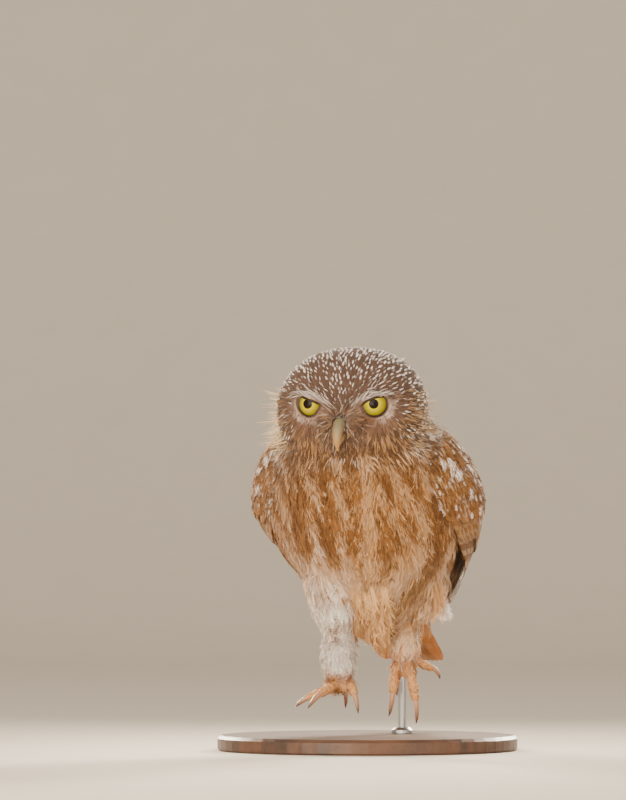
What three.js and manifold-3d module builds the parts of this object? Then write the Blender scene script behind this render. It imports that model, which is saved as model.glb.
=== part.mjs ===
// Little owl caught in a hop, both feet off the ground, held by one rod on a round base.
// Units are millimetres, +Z is up, and the origin is the middle of the underside of the base.
// The bird is built facing -Y in its own frame and is then turned by YAW as one group.
// Sizes are of the plumage's outer surface, so they are those of the living bird's outline.
import * as THREE from "three";
import { mergeVertices } from "three/addons/utils/BufferGeometryUtils.js";
import Module from "manifold-3d";

const wasm = await Module();
wasm.setup();

// Driving dimensions
const YAW = THREE.MathUtils.degToRad(-15); // the bird faces a little towards -X
const FORWARD = 8; // how far the bird stands in front of the middle of the base
const GAP = 0.3; // between pieces that touch
const SLIVER = 0.01; // faces thinner than this, left by a cut, are merged into their neighbours

const BASE_RADIUS = 78;
const BASE_HEIGHT = 8;
const BASE_EDGE = 1.6;
const ROD_RADIUS = 2;
const ROD_X = 10;
const ROD_Y = 33;
const ROD_TOP = 78;
const COLLAR_RADIUS = 5.5;
const COLLAR_HEIGHT = 3;

const HEAD_CENTRE = new THREE.Vector3(-0.8, -28, 175);
const HEAD_PITCH = THREE.MathUtils.degToRad(14); // the face looks down by this much
const HEAD_SIDE = 39.6;
const HEAD_FRONT = 27;
const HEAD_BACK = 36;
const HEAD_UP = 34;
const HEAD_SQUARENESS = 2.25;
const NECK_POINT = new THREE.Vector3(0, -25, 159);
const NECK_SLOPE = 0.3; // the neck cut rises this much for each millimetre towards the back

const EYE_RADIUS = 8.2;
const EYE_X = 16.1;
const EYE_Y = -46.2;
const EYE_Z = 180.2;
const EYE_TURN = THREE.MathUtils.degToRad(10); // each eye looks out from the middle by this much
const LID_THICK = 1.2;
const LID_HALF_WIDTH = 6.6; // of the oval opening between the lids
const LID_HALF_HEIGHT = 5;
const LID_INNER_CORNER = THREE.MathUtils.degToRad(176); // where the slanting upper lid starts on the oval
const LID_OUTER_CORNER = THREE.MathUtils.degToRad(66); // where it ends

// Stations down the back from the neck to the root of the tail: where the middle of the section is,
// and how far the plumage reaches to the side, to the breast and to the back from there.
const TORSO = [
  { x: 0, y: -26, z: 185, side: 29, front: 13, back: 20 },
  { x: 0, y: -21, z: 165, side: 43, front: 33, back: 31 },
  { x: 0, y: -9, z: 145, side: 50.5, front: 43, back: 36 },
  { x: 0, y: 4, z: 124, side: 52, front: 47, back: 37 },
  { x: 1.5, y: 18, z: 105, side: 44, front: 44, back: 32 },
  { x: 3, y: 31, z: 90, side: 31, front: 40, back: 23 },
  { x: 3, y: 41, z: 79, side: 17, front: 21, back: 12 },
  { x: 3, y: 47, z: 72, side: 5, front: 6, back: 4 },
];
const TORSO_SQUARENESS = 2.1;

// Rows of the left wing's outer surface from the shoulder to the tip, each from the leading edge to the back.
const WING_ROWS = [
  [[34, -31, 156], [44, -20, 162], [40, -5, 169], [22, 8, 174]],
  [[43, -26, 134], [57, -10, 141], [50, 11, 150], [27, 25, 157]],
  [[49, -8, 112], [59.2, 6, 120], [50.5, 26, 130], [21, 40, 136]],
  [[47, 23, 95], [46.5, 36, 102], [36, 49, 109], [14, 56, 112]],
  [[24, 64, 67], [20, 69, 71], [13, 72, 74], [7, 74, 77]],
];
const WING_SHELL_END = 0.72; // how far along the wing its flesh and small feathers reach
const WING_SHELL_DEPTH = 10;

const TAIL_ROOT = new THREE.Vector3(2, 35, 84);
const TAIL_TIP = new THREE.Vector3(4.5, 84, 44);
const TAIL_PAIRS = 6;
const TAIL_FEATHER_HALF = 5.4;
const TAIL_SIDE_STEP = 0.37; // the right half of the fan lies this much over the left half

const X_AXIS = new THREE.Vector3(1, 0, 0);
const Y_AXIS = new THREE.Vector3(0, 1, 0);
const Z_AXIS = new THREE.Vector3(0, 0, 1);
const BOTH_SIDES = [["left", 1], ["right", -1]];

const PLUMAGE = { color: 0x8a6445, roughness: 0.85, metalness: 0 };
const PALE_PLUMAGE = { color: 0xd8c0a8, roughness: 0.9, metalness: 0 };
const FLIGHT = { color: 0x7d5a3c, roughness: 0.75, metalness: 0 };
const EYE_YELLOW = { color: 0xd6c431, roughness: 0.1, metalness: 0 };
const BILL_HORN = { color: 0xa59a66, roughness: 0.4, metalness: 0 };
const TOE_SKIN = { color: 0xb98f68, roughness: 0.7, metalness: 0 };
const CLAW_HORN = { color: 0x3a2a22, roughness: 0.35, metalness: 0 };
const STAND_WOOD = { color: 0x4a3325, roughness: 0.45, metalness: 0 };
const STAND_METAL = { color: 0x8b8b8c, roughness: 0.3, metalness: 1 };

// Points in the picture's frame, X to the right and Y away from the viewer, brought into the bird's frame
function seen(x, y, z) {
  return new THREE.Vector3(x, y, z).applyAxisAngle(Z_AXIS, -YAW);
}

// Smooth interpolation through evenly spaced values, at t from 0 to 1
function through(values, t) {
  const place = THREE.MathUtils.clamp(t, 0, 1) * (values.length - 1);
  const i = Math.min(Math.floor(place), values.length - 2);
  const f = place - i;
  const b = values[i];
  const c = values[i + 1];
  const a = i > 0 ? values[i - 1] : 2 * b - c;
  const d = i + 2 < values.length ? values[i + 2] : 2 * c - b;
  const bend = 2 * a - 5 * b + 4 * c - d;
  const twist = 3 * b - a - 3 * c + d;
  return b + 0.5 * f * (c - a + f * (bend + f * twist));
}

// Solids: a closed three.js geometry becomes a manifold, turned right side out
function solid(geometry) {
  const bare = geometry.index ? geometry.toNonIndexed() : geometry.clone();
  bare.deleteAttribute("normal");
  bare.deleteAttribute("uv");
  const merged = mergeVertices(bare, 1e-4);
  const make = (triVerts) => new wasm.Manifold(new wasm.Mesh({
    numProp: 3,
    vertProperties: new Float32Array(merged.attributes.position.array),
    triVerts,
  }));
  const triVerts = new Uint32Array(merged.index.array);
  const made = make(triVerts);
  return made.volume() < 0 ? make(triVerts.reverse()) : made;
}

function geometryOf(made) {
  const mesh = made.getMesh();
  const geometry = new THREE.BufferGeometry();
  geometry.setAttribute("position", new THREE.BufferAttribute(mesh.vertProperties, 3));
  geometry.setIndex(new THREE.BufferAttribute(mesh.triVerts, 1));
  geometry.computeVertexNormals();
  return geometry;
}

function fuse(pieces) {
  return wasm.Manifold.union(pieces);
}

// Cuts the tools out, drops slivers and keeps the largest closed body that is left
function cut(made, tools) {
  const left = tools.length ? made.subtract(fuse(tools)) : made;
  const bodies = left.simplify(SLIVER).decompose();
  return bodies.reduce((best, body) => (body.volume() > best.volume() ? body : best));
}

// A closed skin over rings of points, with a fan at each end.
// A thin form has the second half of its ring under the first, and is split alike on both faces.
function loft(rings, thin = false) {
  const count = rings[0].length;
  const points = rings.flat();
  const index = [];
  for (let r = 0; r + 1 < rings.length; r++) {
    for (let k = 0; k < count; k++) {
      const a = r * count + k;
      const b = r * count + (k + 1) % count;
      if (thin && k >= count / 2) index.push(a, b, a + count, b, b + count, a + count);
      else index.push(a, b, b + count, a, b + count, a + count);
    }
  }
  for (const [ring, forward] of [[0, false], [rings.length - 1, true]]) {
    const centre = new THREE.Vector3();
    rings[ring].forEach((p) => centre.addScaledVector(p, 1 / count));
    points.push(centre);
    for (let k = 0; k < count; k++) {
      const a = ring * count + k;
      const b = ring * count + (k + 1) % count;
      index.push(...(forward ? [a, b, points.length - 1] : [b, a, points.length - 1]));
    }
  }
  const geometry = new THREE.BufferGeometry().setFromPoints(points);
  geometry.setIndex(index);
  return geometry;
}

// A rounded limb along a smooth line through its joints, each { at, wide, deep }.
// Wide is measured level at the start of the line, and is carried along it without twisting.
function limb(joints, sides, rings, grow = 0) {
  const line = new THREE.CatmullRomCurve3(joints.map((j) => j.at));
  const wide = joints.map((j) => j.wide);
  const deep = joints.map((j) => j.deep ?? j.wide);
  const made = [];
  const start = line.getTangent(0);
  const across = new THREE.Vector3().crossVectors(start, Math.abs(start.y) > 0.85 ? Z_AXIS : Y_AXIS);
  for (let r = 0; r <= rings; r++) {
    const t = r / rings;
    const along = line.getTangent(t);
    across.addScaledVector(along, -across.dot(along)).normalize();
    const up = new THREE.Vector3().crossVectors(across, along).normalize();
    const centre = line.getPoint(t);
    if (r === 0) centre.addScaledVector(along, -grow);
    if (r === rings) centre.addScaledVector(along, grow);
    made.push(ringAt(centre, across, up, through(wide, t) + grow, through(deep, t) + grow, sides));
  }
  return loft(made);
}

function ringAt(centre, across, up, wide, deep, sides) {
  const ring = [];
  for (let k = 0; k < sides; k++) {
    const angle = (2 * Math.PI * k) / sides;
    ring.push(centre.clone()
      .addScaledVector(across, wide * Math.cos(angle))
      .addScaledVector(up, deep * Math.sin(angle)));
  }
  return ring;
}

// Head: a squarish ball with the relief of an owl's face, joined to the plumage of the neck above the neck cut
function ridge(x, z, x0, z0, x1, z1, breadth) {
  const dx = x1 - x0;
  const dz = z1 - z0;
  const length2 = Math.max(dx * dx + dz * dz, 1e-9);
  const t = THREE.MathUtils.clamp(((x - x0) * dx + (z - z0) * dz) / length2, 0, 1);
  const away = Math.hypot(x - x0 - t * dx, z - z0 - t * dz) / breadth;
  return Math.exp(-away * away);
}

function faceRelief(x, z) {
  const out = Math.abs(x);
  const brow = 3.2 * ridge(out, z, 6, 3.5, 25, 14.5, 3.6);
  const hollow = -3.4 * ridge(out, z, 17, 3, 17, 3, 9.5);
  const cheek = 2.2 * ridge(out, z, 24, -14, 31, 4, 6.5);
  const muzzle = 2.6 * ridge(out, z, 0, -1, 0, -14, 6.5);
  const chin = 1.6 * ridge(out, z, 6, -22, 20, -20, 6);
  return brow + hollow + cheek + muzzle + chin;
}

function headPoint(polar, round, grow) {
  const x = Math.sin(polar) * Math.cos(round);
  const y = -Math.cos(polar);
  const z = Math.sin(polar) * Math.sin(round);
  const deep = y < 0 ? HEAD_FRONT : HEAD_BACK;
  const n = HEAD_SQUARENESS;
  const size = (Math.abs(x) / HEAD_SIDE) ** n + (Math.abs(y) / deep) ** n + (Math.abs(z) / HEAD_UP) ** n;
  const radius = size ** (-1 / n) + grow;
  const front = Math.max(0, -y) ** 0.5;
  const relief = front * faceRelief(radius * x, radius * z);
  const at = new THREE.Vector3(x, y, z).multiplyScalar(radius);
  at.y -= relief;
  return at.applyAxisAngle(X_AXIS, HEAD_PITCH).add(HEAD_CENTRE);
}

function headBall(grow = 0) {
  const rings = 17;
  const sides = 32;
  const made = [];
  for (let r = 1; r < rings; r++) {
    const polar = Math.PI * (r / rings) ** 1.12;
    const ring = [];
    for (let k = 0; k < sides; k++) {
      ring.push(headPoint(polar, (2 * Math.PI * k) / sides, grow));
    }
    made.push(ring);
  }
  return solid(loft(made));
}

// A big block on one side of the neck cut
function neckBlock(above) {
  const reach = 160;
  const block = new THREE.BoxGeometry(2 * reach, 2 * reach, reach);
  block.translate(0, 0, (above ? 1 : -1) * (reach - GAP) / 2);
  block.rotateX(Math.atan(NECK_SLOPE));
  block.translate(...NECK_POINT.toArray());
  return solid(block);
}

function eyeCentre(side) {
  return new THREE.Vector3(side * EYE_X, EYE_Y, EYE_Z);
}

function eyeBall(side, grow) {
  const ball = new THREE.SphereGeometry(EYE_RADIUS + grow, 16, 10);
  ball.translate(...eyeCentre(side).toArray());
  return solid(ball);
}

// The opening between the lids: oval, and cut off on the inner side by a slanting brow
function lidOpening(side) {
  const shape = new THREE.Shape();
  const turn = 2 * Math.PI;
  shape.absellipse(0, 0, LID_HALF_WIDTH, LID_HALF_HEIGHT, LID_INNER_CORNER, turn + LID_OUTER_CORNER, false);
  shape.closePath();
  const reach = 14;
  const block = new THREE.ExtrudeGeometry(shape, { depth: reach, bevelEnabled: false, curveSegments: 16 });
  block.translate(0, 0, EYE_RADIUS * 0.35);
  block.rotateX(Math.PI / 2);
  block.rotateZ(EYE_TURN);
  if (side < 0) block.scale(-1, 1, 1);
  block.translate(...eyeCentre(side).toArray());
  return solid(block);
}

const UPPER_BILL = [
  { at: new THREE.Vector3(0, -45, 172.5), wide: 4.4, deep: 4.6 },
  { at: new THREE.Vector3(0, -54.5, 171.5), wide: 3.9, deep: 4.0 },
  { at: new THREE.Vector3(0, -60.3, 167), wide: 3.3, deep: 3.2 },
  { at: new THREE.Vector3(0, -62, 161.5), wide: 2.2, deep: 2.1 },
  { at: new THREE.Vector3(0, -60.6, 155.8), wide: 0.6, deep: 0.6 },
];
const LOWER_BILL = [
  { at: new THREE.Vector3(0, -45, 166.4), wide: 3.2, deep: 2.2 },
  { at: new THREE.Vector3(0, -52.4, 164.4), wide: 2.8, deep: 2 },
  { at: new THREE.Vector3(0, -56.6, 161.4), wide: 1.9, deep: 1.5 },
  { at: new THREE.Vector3(0, -58.6, 158.6), wide: 0.7, deep: 0.6 },
];

function upperBill(grow = 0) {
  return solid(limb(UPPER_BILL, 10, 8, grow));
}

function lowerBill(grow = 0) {
  return solid(limb(LOWER_BILL, 8, 5, grow));
}

function nostril(side) {
  const hole = new THREE.CylinderGeometry(0.65, 0.65, 4, 8);
  hole.rotateZ(Math.PI / 2);
  hole.translate(side * 4.6, -57, 170.6);
  return solid(hole);
}

function head() {
  const lids = BOTH_SIDES.map(([, side]) => eyeBall(side, LID_THICK));
  const whole = fuse([headBall(), torsoForm(), ...lids]);
  const tools = [upperBill(GAP), lowerBill(GAP), neckBlock(false)];
  for (const [, side] of BOTH_SIDES) {
    tools.push(eyeBall(side, GAP), lidOpening(side));
  }
  return cut(whole, tools);
}

// Torso: egg-shaped sections set square to the line of the back
function torsoForm(grow = 0) {
  const rings = 13;
  const sides = 26;
  const read = (key, t) => through(TORSO.map((s) => s[key]), t);
  const made = [];
  for (let r = 0; r <= rings; r++) {
    const t = r / rings;
    const step = 0.01;
    const dy = read("y", t + step) - read("y", t - step);
    const dz = read("z", t + step) - read("z", t - step);
    const towardsBack = new THREE.Vector3(0, -dz, dy).normalize();
    const centre = new THREE.Vector3(read("x", t), read("y", t), read("z", t));
    const ring = [];
    for (let k = 0; k < sides; k++) {
      const angle = (2 * Math.PI * k) / sides;
      const c = Math.cos(angle);
      const s = Math.sin(angle);
      const squash = (Math.abs(c) ** TORSO_SQUARENESS + Math.abs(s) ** TORSO_SQUARENESS) ** (-1 / TORSO_SQUARENESS);
      const deep = (s > 0 ? read("back", t) : read("front", t)) + grow;
      ring.push(centre.clone()
        .addScaledVector(X_AXIS, squash * c * (read("side", t) + grow))
        .addScaledVector(towardsBack, squash * s * deep));
    }
    made.push(ring);
  }
  return solid(loft(made));
}

// Wing: a surface through WING_ROWS, read at (along, across), with tiers of feathers on it
function wingPoint(side, along, across) {
  const coordinate = (axis) => through(
    WING_ROWS.map((row) => through(row.map((point) => point[axis]), across)), along);
  return new THREE.Vector3(side * coordinate(0), coordinate(1), coordinate(2));
}

function wingNormal(side, along, across) {
  const step = 0.02;
  const a = wingPoint(side, along + step, across).sub(wingPoint(side, along - step, across));
  const b = wingPoint(side, along, across + step).sub(wingPoint(side, along, across - step));
  return a.cross(b).multiplyScalar(side).normalize();
}

function wingShell(side) {
  const longSteps = 9;
  const wideSteps = 6;
  const made = [];
  for (let i = 0; i <= longSteps; i++) {
    const along = (WING_SHELL_END * i) / longSteps;
    const outside = [];
    const inside = [];
    for (let j = 0; j <= wideSteps; j++) {
      const across = 0.02 + (0.96 * j) / wideSteps;
      const at = wingPoint(side, along, across);
      const out = wingNormal(side, along, across);
      const swell = Math.sqrt(Math.sin(Math.PI * across)) * (1 - (i / longSteps) ** 3);
      outside.push(at.clone().addScaledVector(out, -0.5));
      inside.unshift(at.clone().addScaledVector(out, -1.6 - WING_SHELL_DEPTH * swell));
    }
    made.push([...outside, ...inside]);
  }
  return solid(loft(made, true));
}

// One vane: four-sided rings that are sharp at both edges and ridged along the shaft.
// Its root is sunk under the surface and its tip stands proud of it.
function vane(place, half, lift, tilt = 0.35) {
  const outline = [[0, 0.5], [0.4, 1], [0.84, 0.9], [1, 0.3]];
  const thick = 0.5;
  const sink = 1.2;
  const rings = outline.map(([q, share]) => {
    const { at, out, along } = place(q);
    const across = new THREE.Vector3().crossVectors(along, out).normalize();
    const height = -sink + (sink + lift) * q ** 0.8;
    const centre = at.clone().addScaledVector(out, height);
    const edge = (k) => centre.clone()
      .addScaledVector(across, k * half * share)
      .addScaledVector(out, -0.14 * half * share + k * tilt);
    return [
      edge(-1),
      centre.clone().addScaledVector(out, thick),
      edge(1),
      centre.clone().addScaledVector(out, -thick),
    ];
  });
  return solid(loft(rings, true));
}

function wingVane(side, root, tip, half, lift) {
  const read = (q) => [root[0] + (tip[0] - root[0]) * q, root[1] + (tip[1] - root[1]) * q];
  const place = (q) => {
    const [s, c] = read(q);
    const [s1, c1] = read(q + 0.04);
    const [s0, c0] = read(q - 0.04);
    const along = wingPoint(side, s1, c1).sub(wingPoint(side, s0, c0)).normalize();
    return { at: wingPoint(side, s, c), out: wingNormal(side, s, c), along };
  };
  return vane(place, half, lift, 0.6 * side);
}

// Each tier: how many, where the first and last roots and tips are (along, across), half width, and lift
const WING_TIERS = {
  primaries: {
    count: 6, roots: [[0.46, 0.06], [0.5, 0.5]], tips: [[0.93, 0.06], [0.9, 0.82]],
    half: 4.2, lift: 0.2, bulge: 0.09,
  },
  secondaries: {
    count: 5, roots: [[0.36, 0.26], [0.34, 0.93]], tips: [[0.74, 0.3], [0.8, 0.92]],
    half: 6.2, lift: 0.7, bulge: 0.02,
  },
  primary_coverts: {
    count: 3, roots: [[0.3, 0.07], [0.32, 0.3]], tips: [[0.57, 0.06], [0.6, 0.26]],
    half: 4.4, lift: 0.8, bulge: 0,
  },
  greater_coverts: {
    count: 5, roots: [[0.22, 0.14], [0.2, 0.9]], tips: [[0.46, 0.14], [0.5, 0.9]],
    half: 6.8, lift: 1.1, bulge: 0.02,
  },
  median_coverts: {
    count: 5, roots: [[0.1, 0.12], [0.08, 0.88]], tips: [[0.32, 0.1], [0.33, 0.9]],
    half: 6.6, lift: 1.2, bulge: 0.02,
  },
  lesser_coverts: {
    count: 4, roots: [[0.01, 0.16], [0.01, 0.84]], tips: [[0.19, 0.12], [0.19, 0.86]],
    half: 7, lift: 1.2, bulge: 0.01,
  },
};

function wingFeathers(side) {
  const made = [];
  for (const tier of Object.values(WING_TIERS)) {
    for (let i = 0; i < tier.count; i++) {
      const t = i / (tier.count - 1);
      const mix = (pair) => [0, 1].map((k) => pair[0][k] + (pair[1][k] - pair[0][k]) * t);
      const tip = mix(tier.tips);
      tip[0] += tier.bulge * Math.sin(Math.PI * t);
      made.push(wingVane(side, mix(tier.roots), tip, tier.half, tier.lift));
    }
  }
  return made;
}

// Tail: a fleshy root, six pairs of feathers stepped under the middle pair, and coverts over their roots
function tailFrame() {
  const along = TAIL_TIP.clone().sub(TAIL_ROOT);
  const length = along.length();
  along.normalize();
  const out = new THREE.Vector3().crossVectors(X_AXIS, along).normalize();
  if (out.z < 0) out.negate();
  return { along, length, out };
}

function tailVane(side, rootX, tipX, start, end, level, half, lift) {
  const { along, out } = tailFrame();
  const place = (q) => {
    const x = side * (rootX + (tipX - rootX) * q);
    const at = TAIL_ROOT.clone().addScaledVector(along, start + (end - start) * q);
    at.addScaledVector(X_AXIS, x).addScaledVector(out, level);
    const run = along.clone().multiplyScalar(end - start).addScaledVector(X_AXIS, side * (tipX - rootX));
    return { at, out, along: run.normalize() };
  };
  return vane(place, half, lift, 0.3 * side);
}

function tail(tools) {
  const { along, length, out } = tailFrame();
  const joint = (distance, wide, deep) => (
    { at: TAIL_ROOT.clone().addScaledVector(along, distance), wide, deep });
  const pieces = [solid(limb([joint(-8, 13, 9), joint(4, 12, 7), joint(16, 9.5, 4.6), joint(25, 6, 1.6)], 16, 7))];
  for (let i = 0; i < TAIL_PAIRS; i++) {
    for (const [, side] of BOTH_SIDES) {
      const end = length - 0.15 * i * i;
      const level = 1.8 - 0.75 * i - (side > 0 ? TAIL_SIDE_STEP : 0);
      pieces.push(tailVane(side, 1.2 + 1.5 * i, 1.6 + 2.7 * i, 2, end, level, TAIL_FEATHER_HALF, 0.8));
    }
  }
  for (let i = -1; i <= 1; i++) {
    const step = 0.17 * i;
    pieces.push(tailVane(1, 5 * i, 6.4 * i, 4, 33 - 3 * Math.abs(i), 4.2 - 0.6 * Math.abs(i) + step, 6, 0.4));
    pieces.push(underVane(5 * i, 6.4 * i, 5, 35 - 3 * Math.abs(i), -5 + 0.5 * Math.abs(i) + step, 6));
  }
  return cut(fuse(pieces), tools);

  function underVane(rootX, tipX, start, end, level, half) {
    const down = out.clone().negate();
    const place = (q) => {
      const at = TAIL_ROOT.clone().addScaledVector(along, start + (end - start) * q);
      at.addScaledVector(X_AXIS, rootX + (tipX - rootX) * q).addScaledVector(down, -level);
      return { at, out: down, along };
    };
    return vane(place, half, 0.3, 0.2);
  }
}

// Legs: feathered thigh and shank as limbs, then toes and claws, with joints given as the picture shows them
const LEGS = {
  right: {
    thigh: [
      { at: seen(-19, -2, 104), wide: 15, deep: 20 },
      { at: seen(-17.6, -6, 88), wide: 14.4, deep: 19 },
      { at: seen(-15.8, -5, 73), wide: 12, deep: 13.5 },
      { at: seen(-15, 0, 61), wide: 9, deep: 9 },
      { at: seen(-15, 1, 55), wide: 4, deep: 4 },
    ],
    shank: [
      { at: seen(-15, 4, 63), wide: 6.4, deep: 6 },
      { at: seen(-14.8, -2, 56.5), wide: 9.2, deep: 8.6 },
      { at: seen(-14.6, -11, 48.5), wide: 9.2, deep: 8.4 },
      { at: seen(-14.7, -19, 41), wide: 8.2, deep: 6.8 },
      { at: seen(-14.9, -24, 35.5), wide: 5, deep: 3.8 },
    ],
    toes: {
      hallux: [[-13, -14, 37], [-12, -6, 33], [-11.5, 0, 30], [-11.4, 6, 22]],
      inner: [[-11, -23, 36.5], [-8.4, -29, 34], [-6.8, -35, 30], [-5, -38.5, 20.6]],
      middle: [[-15.5, -26, 35], [-20, -35, 33.5], [-25, -42, 30.5], [-31, -48, 23.5]],
      outer: [[-18.6, -20, 34], [-26, -21, 30.4], [-31.4, -20.5, 28], [-37.2, -20, 23.6]],
    },
  },
  left: {
    thigh: [
      { at: seen(26, 6, 106), wide: 18, deep: 20 },
      { at: seen(26, 8, 91), wide: 17.5, deep: 19 },
      { at: seen(23.5, 11, 77), wide: 14, deep: 15 },
      { at: seen(20.2, 14, 66.5), wide: 8.8, deep: 9 },
      { at: seen(20, 14.5, 61), wide: 4, deep: 4 },
    ],
    shank: [
      { at: seen(19.8, 16.5, 72), wide: 6, deep: 5.6 },
      { at: seen(19.4, 13.5, 66), wide: 8, deep: 7.6 },
      { at: seen(19.2, 8.5, 57.5), wide: 8, deep: 7.2 },
      { at: seen(19.5, 4, 50), wide: 7.6, deep: 6.2 },
      { at: seen(19.8, 1.5, 44.5), wide: 5.2, deep: 3.8 },
    ],
    toes: {
      hallux: [[17.5, 7, 46], [16.6, 13, 41.5], [16, 17, 37], [15.4, 19, 28]],
      inner: [[15, 1, 44.5], [13.4, -1.5, 36], [13, -2.5, 29.5], [11, -1, 18]],
      middle: [[21.6, 0, 43], [23.6, -3, 34], [25, -4.5, 26], [25.2, -2.5, 14.2]],
      outer: [[24.6, 4, 47], [29.6, 7, 44.4], [34, 9.5, 42.6], [37.8, 11, 37]],
    },
  },
};

const TOE_ORDER = ["middle", "inner", "outer", "hallux"];
const TOE_RADIUS = { middle: 3, inner: 2.8, outer: 2.7, hallux: 2.4 };

function toeForm(points, radius, grow = 0) {
  const [root, knuckle, end] = points.map((p) => seen(...p));
  return solid(limb([
    { at: root, wide: radius * 1.08 },
    { at: root.clone().lerp(knuckle, 0.55), wide: radius * 0.9 },
    { at: knuckle, wide: radius * 1.04 },
    { at: knuckle.clone().lerp(end, 0.6), wide: radius * 0.94 },
    { at: end, wide: radius * 0.74 },
    { at: end.clone().add(end.clone().sub(knuckle).setLength(radius * 0.45)), wide: radius * 0.3 },
  ], 8, 7, grow));
}

function clawForm(points) {
  const [, knuckle, end, tip] = points.map((p) => seen(...p));
  const run = end.clone().sub(knuckle).normalize();
  const reach = end.distanceTo(tip);
  return solid(limb([
    { at: end.clone().addScaledVector(run, -0.12 * reach), wide: 1.35, deep: 1.6 },
    { at: end.clone().addScaledVector(run, 0.2 * reach), wide: 1.3, deep: 1.6 },
    { at: end.clone().lerp(tip, 0.55).addScaledVector(run, 0.2 * reach), wide: 0.85, deep: 1 },
    { at: tip, wide: 0.25, deep: 0.25 },
  ], 6, 5));
}

// Assembly: each piece is cut clear of those made before it
const scene = new THREE.Group();
const owl = new THREE.Group();
owl.rotation.z = YAW;
owl.position.y = -FORWARD;
scene.add(owl);

function add(group, name, made, finish) {
  const mesh = new THREE.Mesh(geometryOf(made), new THREE.MeshStandardMaterial(finish));
  mesh.name = name;
  group.add(mesh);
}

const headSolid = head();
const torsoSolid = cut(torsoForm(), [neckBlock(true)]);
const torsoGrown = torsoForm(GAP);
const headGrown = headBall(GAP);
add(owl, "head", headSolid, PLUMAGE);
add(owl, "torso", torsoSolid, PLUMAGE);

for (const [name, side] of BOTH_SIDES) {
  add(owl, "eye_" + name, eyeBall(side, 0), EYE_YELLOW);
}
const bill = cut(upperBill(), [nostril(1), nostril(-1)]);
add(owl, "bill_upper", bill, BILL_HORN);
add(owl, "bill_lower", cut(lowerBill(), [upperBill(GAP)]), BILL_HORN);

const legTools = [];
for (const [name] of BOTH_SIDES) {
  const leg = LEGS[name];
  const thigh = (grow) => solid(limb(leg.thigh, 16, 7, grow));
  const shank = (grow) => solid(limb(leg.shank, 12, 7, grow));
  legTools.push(thigh(GAP));
  add(owl, "thigh_" + name, cut(thigh(0), [torsoGrown]), PALE_PLUMAGE);
  add(owl, "shank_" + name, cut(shank(0), [thigh(GAP), torsoGrown]), PALE_PLUMAGE);
  const before = [shank(GAP)];
  for (const toe of TOE_ORDER) {
    const points = leg.toes[toe];
    const radius = TOE_RADIUS[toe];
    add(owl, "toe_" + name + "_" + toe, cut(toeForm(points, radius), before), TOE_SKIN);
    before.push(toeForm(points, radius, GAP));
    add(owl, "claw_" + name + "_" + toe, cut(clawForm(points), [toeForm(points, radius, GAP)]), CLAW_HORN);
  }
}

const tailSolid = tail([torsoGrown]);
add(owl, "tail", tailSolid, FLIGHT);

for (const [name, side] of BOTH_SIDES) {
  const wing = fuse([wingShell(side), ...wingFeathers(side)]);
  add(owl, "wing_" + name, cut(wing, [torsoGrown, headGrown, ...legTools]), FLIGHT);
}

const rod = new THREE.CylinderGeometry(ROD_RADIUS, ROD_RADIUS, ROD_TOP - BASE_HEIGHT - GAP, 16);
rod.rotateX(Math.PI / 2);
rod.translate(ROD_X, ROD_Y, (ROD_TOP + BASE_HEIGHT + GAP) / 2);
add(owl, "stand_rod", cut(solid(rod), [torsoGrown]), STAND_METAL);

function turned(profile, segments) {
  const lathe = new THREE.LatheGeometry(profile.map(([r, z]) => new THREE.Vector2(r, z)), segments);
  lathe.rotateX(Math.PI / 2);
  return lathe;
}

const bore = ROD_RADIUS + GAP;
const collar = turned([
  [bore, 0], [COLLAR_RADIUS, 0], [COLLAR_RADIUS, COLLAR_HEIGHT * 0.55],
  [COLLAR_RADIUS * 0.7, COLLAR_HEIGHT], [bore, COLLAR_HEIGHT], [bore, 0],
], 20);
collar.translate(ROD_X, ROD_Y, BASE_HEIGHT + GAP);
add(owl, "stand_collar", solid(collar), STAND_METAL);

const base = turned([
  [0, 0], [BASE_RADIUS - 1, 0], [BASE_RADIUS, 1], [BASE_RADIUS, BASE_HEIGHT - BASE_EDGE],
  [BASE_RADIUS - BASE_EDGE, BASE_HEIGHT], [0, BASE_HEIGHT],
], 56);
add(scene, "stand_base", solid(base), STAND_WOOD);

export default scene;
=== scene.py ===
# Little owl in a hop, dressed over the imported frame: one skin, feathers, eyes, bill, claws and stand.
# Shapes are worked out in the owl's own frame, in millimetres and facing -Y, and then turned
# into the row's frame.
import math

import bpy
import numpy as np
from mathutils.bvhtree import BVHTree
from mathutils.kdtree import KDTree
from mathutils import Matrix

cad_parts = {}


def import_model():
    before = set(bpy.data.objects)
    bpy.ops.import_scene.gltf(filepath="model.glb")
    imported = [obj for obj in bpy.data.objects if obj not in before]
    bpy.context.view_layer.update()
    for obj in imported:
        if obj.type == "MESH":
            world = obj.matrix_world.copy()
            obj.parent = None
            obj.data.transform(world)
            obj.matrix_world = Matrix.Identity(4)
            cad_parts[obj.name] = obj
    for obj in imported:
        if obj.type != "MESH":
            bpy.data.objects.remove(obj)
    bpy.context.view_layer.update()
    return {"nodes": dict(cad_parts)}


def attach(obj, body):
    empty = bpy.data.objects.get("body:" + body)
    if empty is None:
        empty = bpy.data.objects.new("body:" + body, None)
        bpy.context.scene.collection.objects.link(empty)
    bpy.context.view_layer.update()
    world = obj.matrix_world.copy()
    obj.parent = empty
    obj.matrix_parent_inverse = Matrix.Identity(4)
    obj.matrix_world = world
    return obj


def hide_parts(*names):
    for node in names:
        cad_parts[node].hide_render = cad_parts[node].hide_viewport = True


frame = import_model()
rng = np.random.default_rng(23)

YAW = math.radians(-15)
FORWARD = 8.0
TURN = np.array([
    [math.cos(YAW), -math.sin(YAW), 0],
    [math.sin(YAW), math.cos(YAW), 0],
    [0, 0, 1],
])


def world(points):
    return (np.asarray(points) @ TURN.T + (0, -FORWARD, 0)) * 0.001


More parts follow.
